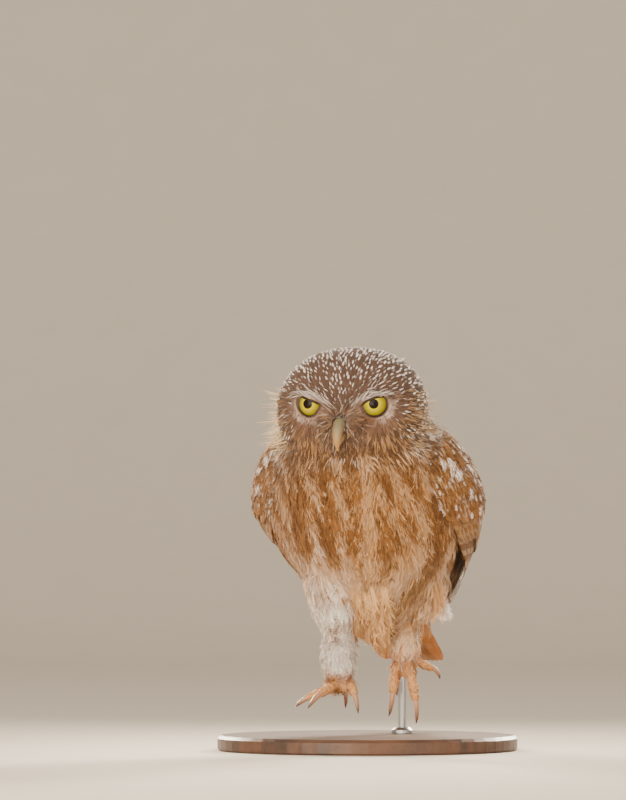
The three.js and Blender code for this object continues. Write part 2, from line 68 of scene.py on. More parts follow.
def owl(points):
    return (np.asarray(points) * 1000 - (0, -FORWARD, 0)) @ TURN


def seen(x, y, z):
    """A point or direction of the picture's frame, in the owl's frame."""
    return np.array((x, y, z), float) @ TURN


def unit(v):
    return v / np.maximum(np.linalg.norm(v, axis=-1, keepdims=True), 1e-9)


def beside(*columns):
    """Columns side by side; a single number fills its whole column."""
    return np.stack(np.broadcast_arrays(*columns), -1)


def smooth(value, low, high):
    """0 below low, 1 above high, and a soft step between them."""
    t = np.clip((np.asarray(value, float) - low) / (high - low), 0, 1)
    return t * t * (3 - 2 * t)


def along_surface(direction, normal):
    flat = direction - normal * (direction * normal).sum(-1, keepdims=True)
    return unit(flat)


def srgb(r, g, b):
    """A colour named by its 0 to 255 screen values, as the linear values that shaders take."""
    c = np.array((r, g, b)) / 255
    return np.where(c <= 0.04045, c / 12.92, ((c + 0.055) / 1.055) ** 2.4)


def blend(a, b, share):
    """From a to b by each point's share; a or b may be one colour for all."""
    return a + (b - a) * np.asarray(share)[:, None]


def even(colour, p):
    """One colour for all points."""
    return np.tile(colour, (len(p), 1))


def bell(*away):
    """1 at distance 0, falling off smoothly; each distance is given in widths."""
    return np.exp(-sum(a ** 2 for a in away))


def kept(mine, *arrays):
    """The chosen rows of arrays, and of lists of arrays."""
    return [kept(mine, *a) if isinstance(a, (list, tuple)) else a[mine] for a in arrays]


def picture_x(p):
    """How far to the right points are seen in the picture."""
    return (p @ TURN.T)[:, 0]


# Camera and studio. Each light has a name, a place, an aim, a size, watts, a colour and a cone
CAMERA_AT = (-0.0283, -5.0, 0.1822)
CAMERA_LENS = 432.7
MIDDLE = (-0.01, 0.0, 0.13)
LIGHTS = (
    ("key", (-0.9, -1.9, 1.3), MIDDLE, 2.2, 64, (1.0, 0.92, 0.8), 180),
    ("fill", (1.2, -1.8, 0.4), MIDDLE, 2.0, 31, (1.0, 0.88, 0.74), 180),
    ("rim_left", (-0.55, 1.0, 0.45), MIDDLE, 0.3, 1.35, (1.0, 0.87, 0.7), 30),
    ("rim_right", (0.55, 1.0, 0.5), MIDDLE, 0.3, 1.55, (1.0, 0.87, 0.7), 30),
    ("rim_top", (0.1, 0.9, 1.0), MIDDLE, 0.4, 0.8, (1.0, 0.9, 0.76), 36),
    ("bounce", (-0.55, -1.1, 0.06), (0.0, 0.0, 0.08), 0.8, 19, (1.0, 0.85, 0.66), 180),
)


def linked(name, data):
    """An object of the scene that holds the data."""
    obj = bpy.data.objects.new(name, data)
    bpy.context.scene.collection.objects.link(obj)
    return obj


def add_camera():
    data = bpy.data.cameras.new("camera")
    data.sensor_width = 36
    data.lens = CAMERA_LENS
    data.clip_end = 30
    camera = linked("camera", data)
    camera.location = CAMERA_AT
    camera.rotation_euler = (math.radians(90), 0, 0)
    bpy.context.scene.camera = camera


def add_light(name, at, aim, size, watts, colour, cone):
    data = bpy.data.lights.new(name, "AREA")
    data.shape = "DISK"
    data.size = size
    data.energy = watts
    data.color = colour
    data.spread = math.radians(cone)
    light = linked(name, data)
    light.location = at
    direction = np.array(aim, float) - np.array(at, float)
    tilt = math.atan2(math.hypot(direction[0], direction[1]), -direction[2])
    light.rotation_euler = (tilt, 0, math.atan2(direction[1], direction[0]) - math.pi / 2)


add_camera()


# Meshes
def build(name, points, polygons, material, uvs=None, colours=None):
    """One mesh object from points in the owl's frame and arrays of triangles and quads."""
    mesh = bpy.data.meshes.new(name)
    co = world(points).astype(np.float32)
    mesh.vertices.add(len(co))
    mesh.vertices.foreach_set("co", co.ravel())
    polygons = [np.asarray(p, np.int32) for p in polygons if len(p)]
    corners = np.concatenate([p.ravel() for p in polygons])
    sizes = np.concatenate([np.full(len(p), p.shape[1], np.int32) for p in polygons])
    starts = np.concatenate([[0], np.cumsum(sizes)[:-1]]).astype(np.int32)
    mesh.loops.add(len(corners))
    mesh.loops.foreach_set("vertex_index", corners)
    mesh.polygons.add(len(sizes))
    mesh.polygons.foreach_set("loop_start", starts)
    mesh.update(calc_edges=True)
    mesh.polygons.foreach_set("use_smooth", np.ones(len(sizes), bool))
    for uv_name, values in (uvs or {}).items():
        layer = mesh.uv_layers.new(name=uv_name)
        layer.data.foreach_set("uv", np.asarray(values, np.float32)[corners].ravel())
    for colour_name, values in (colours or {}).items():
        layer = mesh.color_attributes.new(colour_name, "FLOAT_COLOR", "POINT")
        layer.data.foreach_set("color", np.asarray(values, np.float32).ravel())
    mesh.update()
    mesh.materials.append(material)
    return linked(name, mesh)


def piece(obj, replaced=()):
    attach(obj, "root")
    if replaced:
        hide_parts(*replaced)


def joined(parts):
    """Several (points, triangles) surfaces as one."""
    points, faces, start = [], [], 0
    for p, f in parts:
        points.append(p)
        faces.append(f + start)
        start += len(p)
    return np.concatenate(points), np.concatenate(faces)


def triangles(quads):
    return np.concatenate([quads[:, [0, 1, 2]], quads[:, [0, 2, 3]]])


def loft(rings):
    """Closed skin over rings of points (R, K, 3): points, quads of the wall and triangles of the two ends."""
    count, sides = rings.shape[:2]
    r, k = np.meshgrid(np.arange(count - 1), np.arange(sides), indexing="ij")
    a = (r * sides + k).ravel()
    b = (r * sides + (k + 1) % sides).ravel()
    quads = beside(a, b, b + sides, a + sides)
    ends = np.stack([rings[0].mean(0), rings[-1].mean(0)])
    first = np.arange(sides)
    last = (count - 1) * sides + first
    low = np.full(sides, count * sides)
    caps = np.concatenate([
        beside(np.roll(first, -1), first, low),
        beside(last, np.roll(last, -1), low + 1),
    ])
    return np.concatenate([rings.reshape(-1, 3), ends]), quads, caps


def through(values, t):
    """Smooth interpolation through evenly spaced values (n, lanes, k), at t from 0 to 1."""
    values = np.asarray(values, float)
    count = len(values)
    place = np.clip(t, 0, 1) * (count - 1)
    i = np.minimum(place.astype(int), count - 2)
    f = (place - i)[:, None]
    lane = np.arange(len(i)) if values.shape[1] > 1 else np.zeros(len(i), int)
    b = values[i, lane]
    c = values[i + 1, lane]
    a = np.where((i > 0)[:, None], values[np.maximum(i - 1, 0), lane], 2 * b - c)
    d = np.where((i + 2 < count)[:, None], values[np.minimum(i + 2, count - 1), lane], 2 * c - b)
    return b + 0.5 * f * (c - a + f * (2 * a - 5 * b + 4 * c - d + f * (3 * b - a - 3 * c + d)))


def spline(points, t):
    """Centripetal Catmull-Rom line through the points, at one t from 0 to 1."""
    place = min(max(t, 0), 1) * (len(points) - 1)
    i = min(int(place), len(points) - 2)
    f = place - i
    p1, p2 = points[i], points[i + 1]
    p0 = points[i - 1] if i > 0 else 2 * p1 - p2
    p3 = points[i + 2] if i + 2 < len(points) else 2 * p2 - p1
    d0, d1, d2 = [max(np.linalg.norm(q - p) ** 0.5, 1e-4) for p, q in ((p0, p1), (p1, p2), (p2, p3))]
    t1 = ((p1 - p0) / d0 - (p2 - p0) / (d0 + d1) + (p2 - p1) / d1) * d1
    t2 = ((p2 - p1) / d1 - (p3 - p1) / (d1 + d2) + (p3 - p2) / d2) * d1
    return p1 + f * (t1 + f * (-3 * p1 + 3 * p2 - 2 * t1 - t2 + f * (2 * p1 - 2 * p2 + t1 + t2)))


def limb_rings(joints, sides, rings, relief=None):
    """Rings of a rounded limb through joints (point, wide, deep); relief(t, angle) scales its radius."""
    line = [np.asarray(j[0], float) for j in joints]
    sizes = np.array([[j[1], j[2]] for j in joints])[:, None, :]
    ts = np.linspace(0, 1, rings + 1)
    radii = np.maximum(through(sizes, ts), 0.05)
    step = 1e-3
    tangent = [unit(spline(line, min(t + step, 1)) - spline(line, max(t - step, 0))) for t in ts]
    helper = np.array((0, 0, 1.0)) if abs(tangent[0][1]) > 0.85 else np.array((0, 1.0, 0))
    across = np.cross(tangent[0], helper)
    angle = np.linspace(0, 2 * np.pi, sides, endpoint=False)
    made = []
    for t, run, (wide, deep) in zip(ts, tangent, radii):
        across = unit(across - run * across.dot(run))
        up = unit(np.cross(across, run))
        size = np.ones(sides) if relief is None else relief(t, angle)
        made.append(spline(line, t) + np.outer(np.cos(angle) * wide * size, across)
                    + np.outer(np.sin(angle) * deep * size, up))
    return np.array(made)


def closed_limb(joints, sides, rings, relief=None):
    return loft(limb_rings(joints, sides, rings, relief))


# The named sizes of the solids that the looks are fitted to
HEAD_CENTRE = np.array((-0.8, -28, 175.0))
NECK_Y = -25
NECK_Z = 159
NECK_SLOPE = 0.3
EYE_RADIUS = 8.2
EYE_X, EYE_Y, EYE_Z = 16.1, -46.2, 180.2
FACE_EYE_X = 17.5
EYE_TURN = math.radians(10)
LID_HALF_WIDTH = 6.4
LID_HALF_HEIGHT = 6.0
LID_INNER_CORNER = 187
LID_OUTER_CORNER = 36
LID_RISE = {1: 0.8, -1: 0.2}
BILL_ROOT = np.array((0, -58, 172.0))

UPPER_BILL = [
    ((0, -45, 171.6), 3.5, 3.6), ((0, -54.5, 170.6), 3.2, 3.5), ((0, -60.3, 166.4), 2.9, 3.0),
    ((0, -62, 161.5), 2.0, 2.0), ((0, -60.6, 156.0), 0.45, 0.45),
]
LOWER_BILL = [
    ((0, -45, 166.4), 3.2, 2.2), ((0, -52.4, 164.4), 2.8, 2), ((0, -56.6, 161.4), 1.9, 1.5),
    ((0, -58.6, 158.6), 0.6, 0.5),
]
WING_ROWS = np.array([
    [[34, -31, 156], [44, -20, 162], [40, -5, 169], [22, 8, 174]],
    [[43, -26, 134], [57, -10, 141], [50, 11, 150], [27, 25, 157]],
    [[49, -8, 112], [59.2, 6, 120], [50.5, 26, 130], [21, 40, 136]],
    [[47, 23, 95], [46.5, 36, 102], [36, 49, 109], [14, 56, 112]],
    [[24, 64, 67], [20, 69, 71], [13, 72, 74], [7, 74, 77]],
], float)
WING_SHELL_END = 0.72
TAIL_ROOT = np.array((2, 35, 84.0))
TAIL_TIP = np.array((4.5, 84, 44.0))
LEGS = {
    "right": {
        "thigh": ((-19, -2, 104), (-15, 1, 55)),
        "shank": ((-15, 4, 63), (-14.9, -24, 35.5)),
        "palm": ((-14.6, -25, 34.6), (6.6, 4.4, 4.2)),
        "toes": {
            "hallux": [(-13, -14, 37), (-12, -6, 33), (-11.5, 0, 30), (-11.4, 6, 22)],
            "inner": [(-11, -23, 36.5), (-8.4, -29, 34), (-6.8, -35, 30), (-5, -38.5, 20.6)],
            "middle": [(-15.5, -26, 35), (-20, -35, 33.5), (-25, -42, 30.5), (-31, -48, 23.5)],
            "outer": [(-18.6, -20, 34), (-26, -21, 30.4), (-31.4, -20.5, 28), (-37.2, -20, 23.6)],
        },
    },
    "left": {
        "thigh": ((26, 6, 106), (20, 14.5, 61)),
        "shank": ((19.8, 16.5, 72), (19.8, 1.5, 44.5)),
        "palm": ((19.6, 2, 43.6), (5.2, 4.0, 4.4)),
        "toes": {
            "hallux": [(17.5, 7, 46), (16.6, 13, 41.5), (16, 17, 37), (15.4, 19, 28)],
            "inner": [(15, 1, 44.5), (13.4, -1.5, 36), (13, -2.5, 29.5), (11, -1, 18)],
            "middle": [(21.6, 0, 43), (23.6, -3, 34), (25, -4.5, 26), (25.2, -2.5, 14.2)],
            "outer": [(24.6, 4, 47), (29.6, 7, 44.4), (34, 9.5, 42.6), (37.8, 11, 37)],
        },
    },
}
TOE_RADIUS = {"middle": 3, "inner": 2.8, "outer": 2.7, "hallux": 2.4}
SIDES = (("left", 1), ("right", -1))


# Shader graphs: sockets that take part in arithmetic
class Graph:
    def __init__(self, name):
        self.material = bpy.data.materials.new(name)
        self.material.use_nodes = True
        self.tree = self.material.node_tree
        self.tree.nodes.clear()
        self.output = self.tree.nodes.new("ShaderNodeOutputMaterial").inputs["Surface"]

    def feed(self, socket, value):
        if isinstance(value, Socket):
            self.tree.links.new(value.socket, socket)
        elif hasattr(socket.default_value, "__len__") and np.ndim(value):
            given = [float(v) for v in value]
            socket.default_value = given + [1.0] * (len(socket.default_value) - len(given))
        else:
            socket.default_value = value

    def node(self, kind, inputs, **settings):
        """A node with its settings made and its inputs, by name or number, given sockets or values."""
        made = self.tree.nodes.new(kind)
        for key, value in settings.items():
            setattr(made, key, value)
        for key, value in inputs.items():
            self.feed(made.inputs[key], value)
        return made

    def made(self, kind, output, inputs, **settings):
        return Socket(self, self.node(kind, inputs, **settings).outputs[output])

    def math(self, operation, *values):
        return self.made("ShaderNodeMath", 0, dict(enumerate(values)), operation=operation)

    def mix(self, share, a, b):
        return self.made("ShaderNodeMix", 2, {0: share, 6: a, 7: b}, data_type="RGBA")

    def scaled(self, colour, factor):
        """A colour made lighter or darker by a shader value."""
        return self.made("ShaderNodeVectorMath", 0, {0: colour, "Scale": factor}, operation="SCALE")

    def attribute(self, name):
        made = self.node("ShaderNodeAttribute", {}, attribute_name=name)
        return Socket(self, made.outputs["Color"]), Socket(self, made.outputs["Alpha"])

    def parts(self, kind, value):
        """The separate values of a vector or a colour."""
        made = self.node("ShaderNodeSeparate" + kind, {0: value})
        return [Socket(self, made.outputs[i]) for i in range(3)]

    def uv(self, name):
        return self.parts("XYZ", self.made("ShaderNodeUVMap", 0, {}, uv_map=name))[:2]

    def place(self):
        return self.made("ShaderNodeTexCoord", "Object", {})

    def stretched(self, vector, scale):
        return self.made("ShaderNodeMapping", 0, {"Vector": vector, "Scale": scale})

    def noise(self, vector, scale, detail=3.0, roughness=0.55):
        inputs = {"Vector": vector, "Scale": scale, "Detail": detail, "Roughness": roughness}
        return self.made("ShaderNodeTexNoise", "Fac", inputs)

    def cells(self, vector, scale):
        return self.made("ShaderNodeTexVoronoi", "Distance", {"Vector": vector, "Scale": scale})

    def bump(self, height, strength, distance):
        inputs = {"Strength": strength, "Distance": distance, "Height": height}
        return self.made("ShaderNodeBump", 0, inputs)

    def surface(self, colour, roughness, normal=None, through_light=0.0, **fixed):
        inputs = {"Base Color": colour, "Roughness": roughness}
        inputs.update((key.replace("_", " "), value) for key, value in fixed.items())
        if normal is not None:
            inputs["Normal"] = normal
        last = self.made("ShaderNodeBsdfPrincipled", 0, inputs)
        if through_light:
            thin = self.made("ShaderNodeBsdfTranslucent", 0, {"Color": colour})
            last = self.made("ShaderNodeMixShader", 0, {0: through_light, 1: last, 2: thin})
        self.feed(self.output, last)
        return self.material


def operation(name, turned=False):
    """A method that adds one math node; turned puts the socket after the other value."""
    def method(self, *others):
        values = (*others, self) if turned else (self, *others)
        return self.graph.math(name, *values)

    return method


class Socket:
    def __init__(self, graph, socket):
        self.graph = graph
        self.socket = socket

    __add__ = operation("ADD")
    __sub__ = operation("SUBTRACT")
    __mul__ = operation("MULTIPLY")
    __rsub__ = operation("SUBTRACT", True)
    abs = operation("ABSOLUTE")
    sin = operation("SINE")
    max = operation("MAXIMUM")

    def step(self, low, high):
        """0 at low and 1 at high, with a soft step between them; low may be above high."""
        ends = (low, high, 0.0, 1.0) if low < high else (high, low, 1.0, 0.0)
        inputs = dict(zip(("From Min", "From Max", "To Min", "To Max"), ends), Value=self)
        return self.graph.made("ShaderNodeMapRange", 0, inputs, interpolation_type="SMOOTHSTEP")


def feather_material(name, through_light, rough, barb_count):
    """Feather vane: its own tone, marks placed by its vane map, barbs and a fine shaft.

    Pattern holds, in order, the share of a streak along the shaft, a teardrop near the tip, cross bars,
    and pale patches on both webs.
    """
    g = Graph(name)
    tone, _ = g.attribute("tone")
    mark, _ = g.attribute("mark")
    pattern, patches = g.attribute("pattern")
    streak, drop, bars = g.parts("Color", pattern)
    u, v = g.uv("vane")
    place = g.place()
    wander = g.noise(place, 900.0) - 0.5
    side = u.abs() + wander * 0.35
    streak_mask = side.step(0.36, 0.16) * v.step(0.1, 0.3) * streak
    high = v - 0.8
    drop_mask = (u * u * 7.5 + high * high * 28.0 + wander * 0.6).step(1.25, 0.6) * drop
    bar_mask = ((v * 34.0 + side * 1.6).sin() + wander * 0.8).step(0.05, 0.45)
    bar_mask = bar_mask * side.step(0.12, 0.3) * bars
    patch_mask = side.step(0.2, 0.42) * (v + wander * 0.25).step(0.3, 0.45)
    patch_mask = patch_mask * v.step(1.02, 0.86) * patches
    mask = streak_mask.max(drop_mask).max(bar_mask).max(patch_mask)
    colour = g.mix(mask, tone, mark)
    barbs = (v * barb_count - u.abs() * (barb_count * 0.4)).sin()
    clumps = g.noise(place, 260.0)
    colour = g.scaled(colour, barbs * 0.07 + clumps * 0.36 + 0.82)
    shaft = u.abs().step(0.07, 0.02) * v.step(0.95, 0.8)
    colour = g.scaled(colour, 1.0 - shaft * 0.16)
    normal = g.bump(barbs * 0.5 + clumps, 0.5, 0.0004)
    return g.surface(colour, rough, normal, through_light, Sheen_Weight=0.15, Sheen_Roughness=0.5,
                     Specular_IOR_Level=0.3)


def skin_material():
    """Down and skin under the feathers, and the bare skin of the toes with its small scutes."""
    g = Graph("skin_down")
    tone, toes = g.attribute("tone")
    place = g.place()
    soft = g.noise(place, 700.0, 4.0)
    scutes = g.cells(place, 850.0)
    colour = g.scaled(tone, soft * 0.5 + 0.72)
    colour = g.mix(scutes.step(0.45, 0.85) * toes * 0.7, colour, srgb(122, 82, 54))
    normal = g.bump(soft + (1.0 - scutes) * toes * 1.6, 0.7, 0.0005)
    return g.surface(colour, 0.66, normal, Subsurface_Weight=0.05, Subsurface_Scale=0.003,
                     Specular_IOR_Level=0.35)


def eye_material():
    """Iris, pupil and dark rim, placed by the distance from the middle of the eye."""
    g = Graph("eye_wet")
    turn, away = g.uv("eye")
    place = g.place()
    rays = (turn * 150.0 + g.noise(place, 900.0) * 9.0).sin()
    fine = g.noise(place, 2600.0)
    iris = g.mix(away.step(2.6, 5.6), srgb(170, 156, 2), srgb(134, 124, 0))
    iris = g.scaled(iris, rays * 0.07 + fine * 0.22 + 0.9)
    ring = away.step(2.2, 2.7) * away.step(3.6, 2.9)
    iris = g.mix(ring * 0.25, iris, srgb(188, 168, 20))
    limbus = (away + fine * 0.3).step(6.3, 7.0)
    iris = g.mix(limbus, iris, srgb(34, 24, 16))
    pupil = (away + fine * 0.12).step(2.56, 2.3)
    colour = g.mix(pupil, iris, srgb(20, 12, 8))
    return g.surface(colour, 0.35, Coat_Weight=0.12, Coat_Roughness=0.03, Specular_IOR_Level=0.05)


def lid_material():
    g = Graph("lid_skin")
    place = g.place()
    folds = g.noise(g.stretched(place, (1, 1, 2.4)), 1500.0, 4.0)
    colour = g.mix(folds, srgb(26, 16, 10), srgb(52, 34, 23))
    return g.surface(colour, 0.5, g.bump(folds, 0.5, 0.0003), Specular_IOR_Level=0.2)


def bill_material():
    """Greenish horn at the root, yellow towards the tip, with faint growth lines."""
    g = Graph("bill_horn")
    place = g.place()
    level = g.parts("XYZ", place)[2]
    grain = g.noise(g.stretched(place, (3, 3, 0.6)), 520.0, 4.0)
    colour = g.mix((level + grain * 0.005).step(0.173, 0.158), srgb(112, 102, 74), srgb(164, 122, 66))
    colour = g.mix(grain.step(0.5, 0.8) * 0.3, colour, srgb(96, 84, 62))
    return g.surface(colour, grain * 0.2 + 0.42, g.bump(grain, 0.25, 0.0003), Subsurface_Weight=0.1,
                     Subsurface_Scale=0.003)


def claw_material():
    """Horn that darkens from the root to the tip."""
    g = Graph("claw_horn")
    _, reach = g.uv("eye")
    grain = g.noise(g.place(), 900.0)
    colour = g.mix((reach + grain * 0.25).step(0.35, 1.05), srgb(172, 126, 94), srgb(82, 56, 44))
    return g.surface(colour, 0.45, g.bump(grain, 0.2, 0.0002), Coat_Weight=0.08)


def wood_material():
    g = Graph("walnut")
    place = g.place()
    bands = g.noise(g.stretched(place, (2.2, 22, 6)), 9.0, 6.0, 0.6)
    pores = g.noise(g.stretched(place, (14, 260, 90)), 10.0, 2.0)
    colour = g.mix(bands.step(0.3, 0.72), srgb(50, 31, 20), srgb(92, 58, 36))
    colour = g.scaled(colour, 1.08 - pores.step(0.55, 0.7) * 0.35)
    return g.surface(colour, bands * 0.15 + 0.42, g.bump(pores, 0.25, 0.0003), Coat_Weight=0.1,
                     Coat_Roughness=0.3)


def metal_material():
    g = Graph("brushed_steel")
    lines = g.noise(g.stretched(g.place(), (420, 420, 6)), 8.0)
    colour = g.mix(lines, srgb(150, 150, 152), srgb(190, 190, 190))
    return g.surface(colour, lines * 0.2 + 0.24, g.bump(lines, 0.12, 0.0002), Metallic=1.0)


def studio_material():
    """Pale matt paper, clear from behind so that it hides nothing from a view at the back."""
    g = Graph("studio_floor")
    grain = g.noise(g.place(), 30.0, 4.0)
    g.surface(g.mix(grain, srgb(208, 197, 180), srgb(213, 203, 187)), 0.9)
    paper = Socket(g, g.output.links[0].from_socket)
    behind = g.made("ShaderNodeNewGeometry", "Backfacing", {})
    clear = g.made("ShaderNodeBsdfTransparent", 0, {})
    g.feed(g.output, g.made("ShaderNodeMixShader", 0, {0: behind, 1: paper, 2: clear}))
    return g.material


PLUME = feather_material("plumage", through_light=0.28, rough=0.8, barb_count=60.0)
FLIGHT = feather_material("flight_feathers", through_light=0.22, rough=0.6, barb_count=150.0)
SKIN = skin_material()
EYE = eye_material()
LID = lid_material()
BILL = bill_material()
CLAW = claw_material()


# Skin: the flesh nodes as one closed surface, drawn in by the depth of the coat
HEAD, TORSO, THIGH, SHANK, TOES, HIDDEN = range(6)
BODY = (HEAD, TORSO)
LEG = (THIGH, SHANK)
VOXEL = 0.00095
GROWTH = 0.35
EYE_OPENING = 0.45


def cad_surface(name):
    mesh = frame["nodes"][name].data
    co = np.empty(len(mesh.vertices) * 3)
    mesh.vertices.foreach_get("co", co)
    mesh.calc_loop_triangles()
    tri = np.empty(len(mesh.loop_triangles) * 3, np.int32)
    mesh.loop_triangles.foreach_get("vertices", tri)
    points, same = np.unique(np.round(owl(co.reshape(-1, 3)), 3), axis=0, return_inverse=True)
    tri = same.reshape(-1)[tri].reshape(-1, 3)
    a, b, c = points[tri[:, 0]], points[tri[:, 1]], points[tri[:, 2]]
    face = np.cross(b - a, c - a)
    normal = np.zeros_like(points)
    for k in range(3):
        np.add.at(normal, tri[:, k], face)
    return points + unit(normal) * GROWTH, tri


def closed_tris(made):
    points, quads, caps = made
    return points, np.concatenate([triangles(quads), caps])


def sphere(centre, radius):
    polar = np.linspace(0.05, math.pi - 0.05, 24)
    angle = np.linspace(0, 2 * math.pi, 48, endpoint=False)
    points, tris = closed_tris(loft(np.stack([
        np.outer(np.sin(polar), np.cos(angle)),
        np.outer(np.sin(polar), np.sin(angle)),
        np.outer(np.cos(polar), np.ones(len(angle))),
    ], -1)))
    return centre + points * radius, tris


def eye_centre(side):
    return np.array((side * EYE_X, EYE_Y, EYE_Z))


def eye_axes(side):
    """Outward, up and forward directions of one eye."""
    out = np.array((side * math.cos(EYE_TURN), math.sin(EYE_TURN), 0))
    ahead = np.array((side * math.sin(EYE_TURN), -math.cos(EYE_TURN), 0))
    return out, np.array((0, 0, 1.0)), ahead


def lid_outline(side):
    """Edge of one eye opening, outward and up: an oval cut by the slanting upper lid."""
    arc = np.radians(np.linspace(LID_INNER_CORNER, 360 + LID_OUTER_CORNER, 90))
    oval = beside(LID_HALF_WIDTH * np.cos(arc), LID_HALF_HEIGHT * np.sin(arc))
    t = np.linspace(0, 1, 30)[1:-1, None]
    upper = oval[-1] + (oval[0] - oval[-1]) * t
    upper[:, 1] += LID_RISE[side] * np.sin(np.pi * t[:, 0])
    line = np.concatenate([oval, upper])
    for _ in range(4):
        line = (np.roll(line, 1, 0) + 2 * line + np.roll(line, -1, 0)) / 4
    return line


def outward_2d(line):
    return unit(np.stack([np.roll(line, -1, 0)[:, 1] - np.roll(line, 1, 0)[:, 1],
                          np.roll(line, 1, 0)[:, 0] - np.roll(line, -1, 0)[:, 0]], -1))


def beyond_lids(p):
    """How far points lie outside the nearer eye opening, seen along that eye's axis; negative inside it."""
    made = np.full(len(p), 50.0)
    for _, side in SIDES:
        out, up, _ = eye_axes(side)
        ray = p - eye_centre(side)
        near = np.flatnonzero((np.linalg.norm(ray, axis=1) < 20) & (p[:, 1] < EYE_Y + 3))
        flat = beside(ray[near] @ out, ray[near] @ up)
        line = lid_outline(side)
        away = ((flat[:, None] - line) * outward_2d(line)).sum(-1).max(1)
        made[near] = np.minimum(made[near], away)
    return made


def toe_joints(points, radius):
    root, knuckle, end = [seen(*p) for p in points[:3]]
    run = unit(end - knuckle)
    return [
        (root, radius * 1.08, radius * 1.08),
        (root + (knuckle - root) * 0.55, radius * 0.9, radius * 0.9),
        (knuckle, radius * 1.04, radius * 1.04),
        (knuckle + (end - knuckle) * 0.6, radius * 0.94, radius * 0.94),
        (end, radius * 0.74, radius * 0.74),
        (end + run * radius * 0.45, radius * 0.3, radius * 0.3),
    ]


def toe_relief(t, angle):
    """Pads below and faint ring folds."""
    return 1 + 0.05 * np.sin(t * 21) + 0.035 * np.sin(t * 52) * (0.6 + 0.4 * np.cos(angle))


def toe_surfaces():
    made = []
    for leg in LEGS.values():
        at, size = leg["palm"]
        made.append(sphere(seen(*at), np.array(size)))
        for toe, points in leg["toes"].items():
            joints = toe_joints(points, TOE_RADIUS[toe])
            made.append(closed_tris(closed_limb(joints, sides=24, rings=40, relief=toe_relief)))
    return made


def remeshed(points, tris):
    """The outer surface of overlapping closed forms, as one even mesh."""
    rough = build("rough", points, [tris], SKIN)
    modifier = rough.modifiers.new("remesh", "REMESH")
    modifier.mode = "VOXEL"
    modifier.voxel_size = VOXEL
    result = bpy.data.meshes.new_from_object(rough.evaluated_get(bpy.context.evaluated_depsgraph_get()))
    bpy.data.objects.remove(rough)
    co = np.empty(len(result.vertices) * 3)
    result.vertices.foreach_get("co", co)
    quads = np.empty(len(result.loops), np.int32)
    result.loops.foreach_get("vertex_index", quads)
    edges = np.empty(len(result.edges) * 2, np.int32)
    result.edges.foreach_get("vertices", edges)
    bpy.data.meshes.remove(result)
    return owl(co.reshape(-1, 3)), quads.reshape(-1, 4), edges.reshape(-1, 2)


def averaged(values, edges, rounds):
    """Values smoothed over the mesh by a few rounds of averaging with neighbours."""
    values = values.reshape(len(values), -1).astype(float)
    near = np.bincount(edges.ravel(), minlength=len(values))[:, None]
    for _ in range(rounds):
        total = np.stack([
            np.bincount(edges[:, 0], values[edges[:, 1], k], len(values))
            + np.bincount(edges[:, 1], values[edges[:, 0], k], len(values))
            for k in range(values.shape[1])], -1)
        values = 0.5 * values + 0.5 * total / np.maximum(near, 1)
    return values


def vertex_normals(points, quads):
    face = np.cross(points[quads[:, 2]] - points[quads[:, 0]], points[quads[:, 3]] - points[quads[:, 1]])
    normal = np.stack([
        sum(np.bincount(quads[:, k], face[:, axis], len(points)) for k in range(4)) for axis in range(3)], -1)
    return unit(normal)


def eye_polar(p):
    """Distance and angle (0 outward, 90 up) from the middle of the nearer eye, seen from ahead."""
    across = np.abs(p[:, 0]) - FACE_EYE_X
    rise = p[:, 2] - EYE_Z
    return np.hypot(across, rise), np.degrees(np.arctan2(rise, across))


def eye_away(p):
    return eye_polar(p)[0]


BROW_X = (0, 4, 7, 11, 15, 20, 25, 32)
BROW_Z = (175.5, 178.8, 181.2, 183.6, 184.8, 185.6, 186.2, 187)


def above_brow(p):
    return p[:, 2] - np.interp(np.abs(p[:, 0]), BROW_X, BROW_Z)


def above_neck(p):
    return p[:, 2] - (NECK_Z + NECK_SLOPE * (p[:, 1] - NECK_Y))


def disc_share(p):
    """1 on the facial disc, 0 on the crown, the nape and the throat."""
    front = smooth(-p[:, 1], 30, 38)
    below = smooth(-above_brow(p), -0.5, 1.5)
    chin = smooth(p[:, 2] + 0.12 * np.abs(p[:, 0]), 152, 159)
    return front * below * chin


def bill_near(p):
    """1 beside the bill, falling to 0 about 14 mm from it."""
    away = np.hypot(p[:, 0], 0.7 * (p[:, 2] - 167))
    return bell(away / 9) * smooth(-p[:, 1], 38, 46)


def coat_depth(p, region):
    body = np.full(len(p), 3.4)
    crown = 1.9 + 1.2 * smooth(p[:, 1], -20, 5)
    disc = 1.2 - 0.9 * smooth(-eye_away(p), -12, -8.5) - 0.7 * bill_near(p)
    head = crown + (disc - crown) * disc_share(p)
    neck = smooth(above_neck(p), -8, 6)
    depth = np.where(np.isin(region, BODY), body + (head - body) * neck, body)
    depth = np.where(region == THIGH, 2.4 - 0.7 * smooth(-p[:, 2], -80, -68), depth)
    depth = np.where(region == SHANK, 1.5, depth)
    depth = np.where(region == TOES, 0.0, depth)
    return np.where(region == HIDDEN, 0.3, depth)


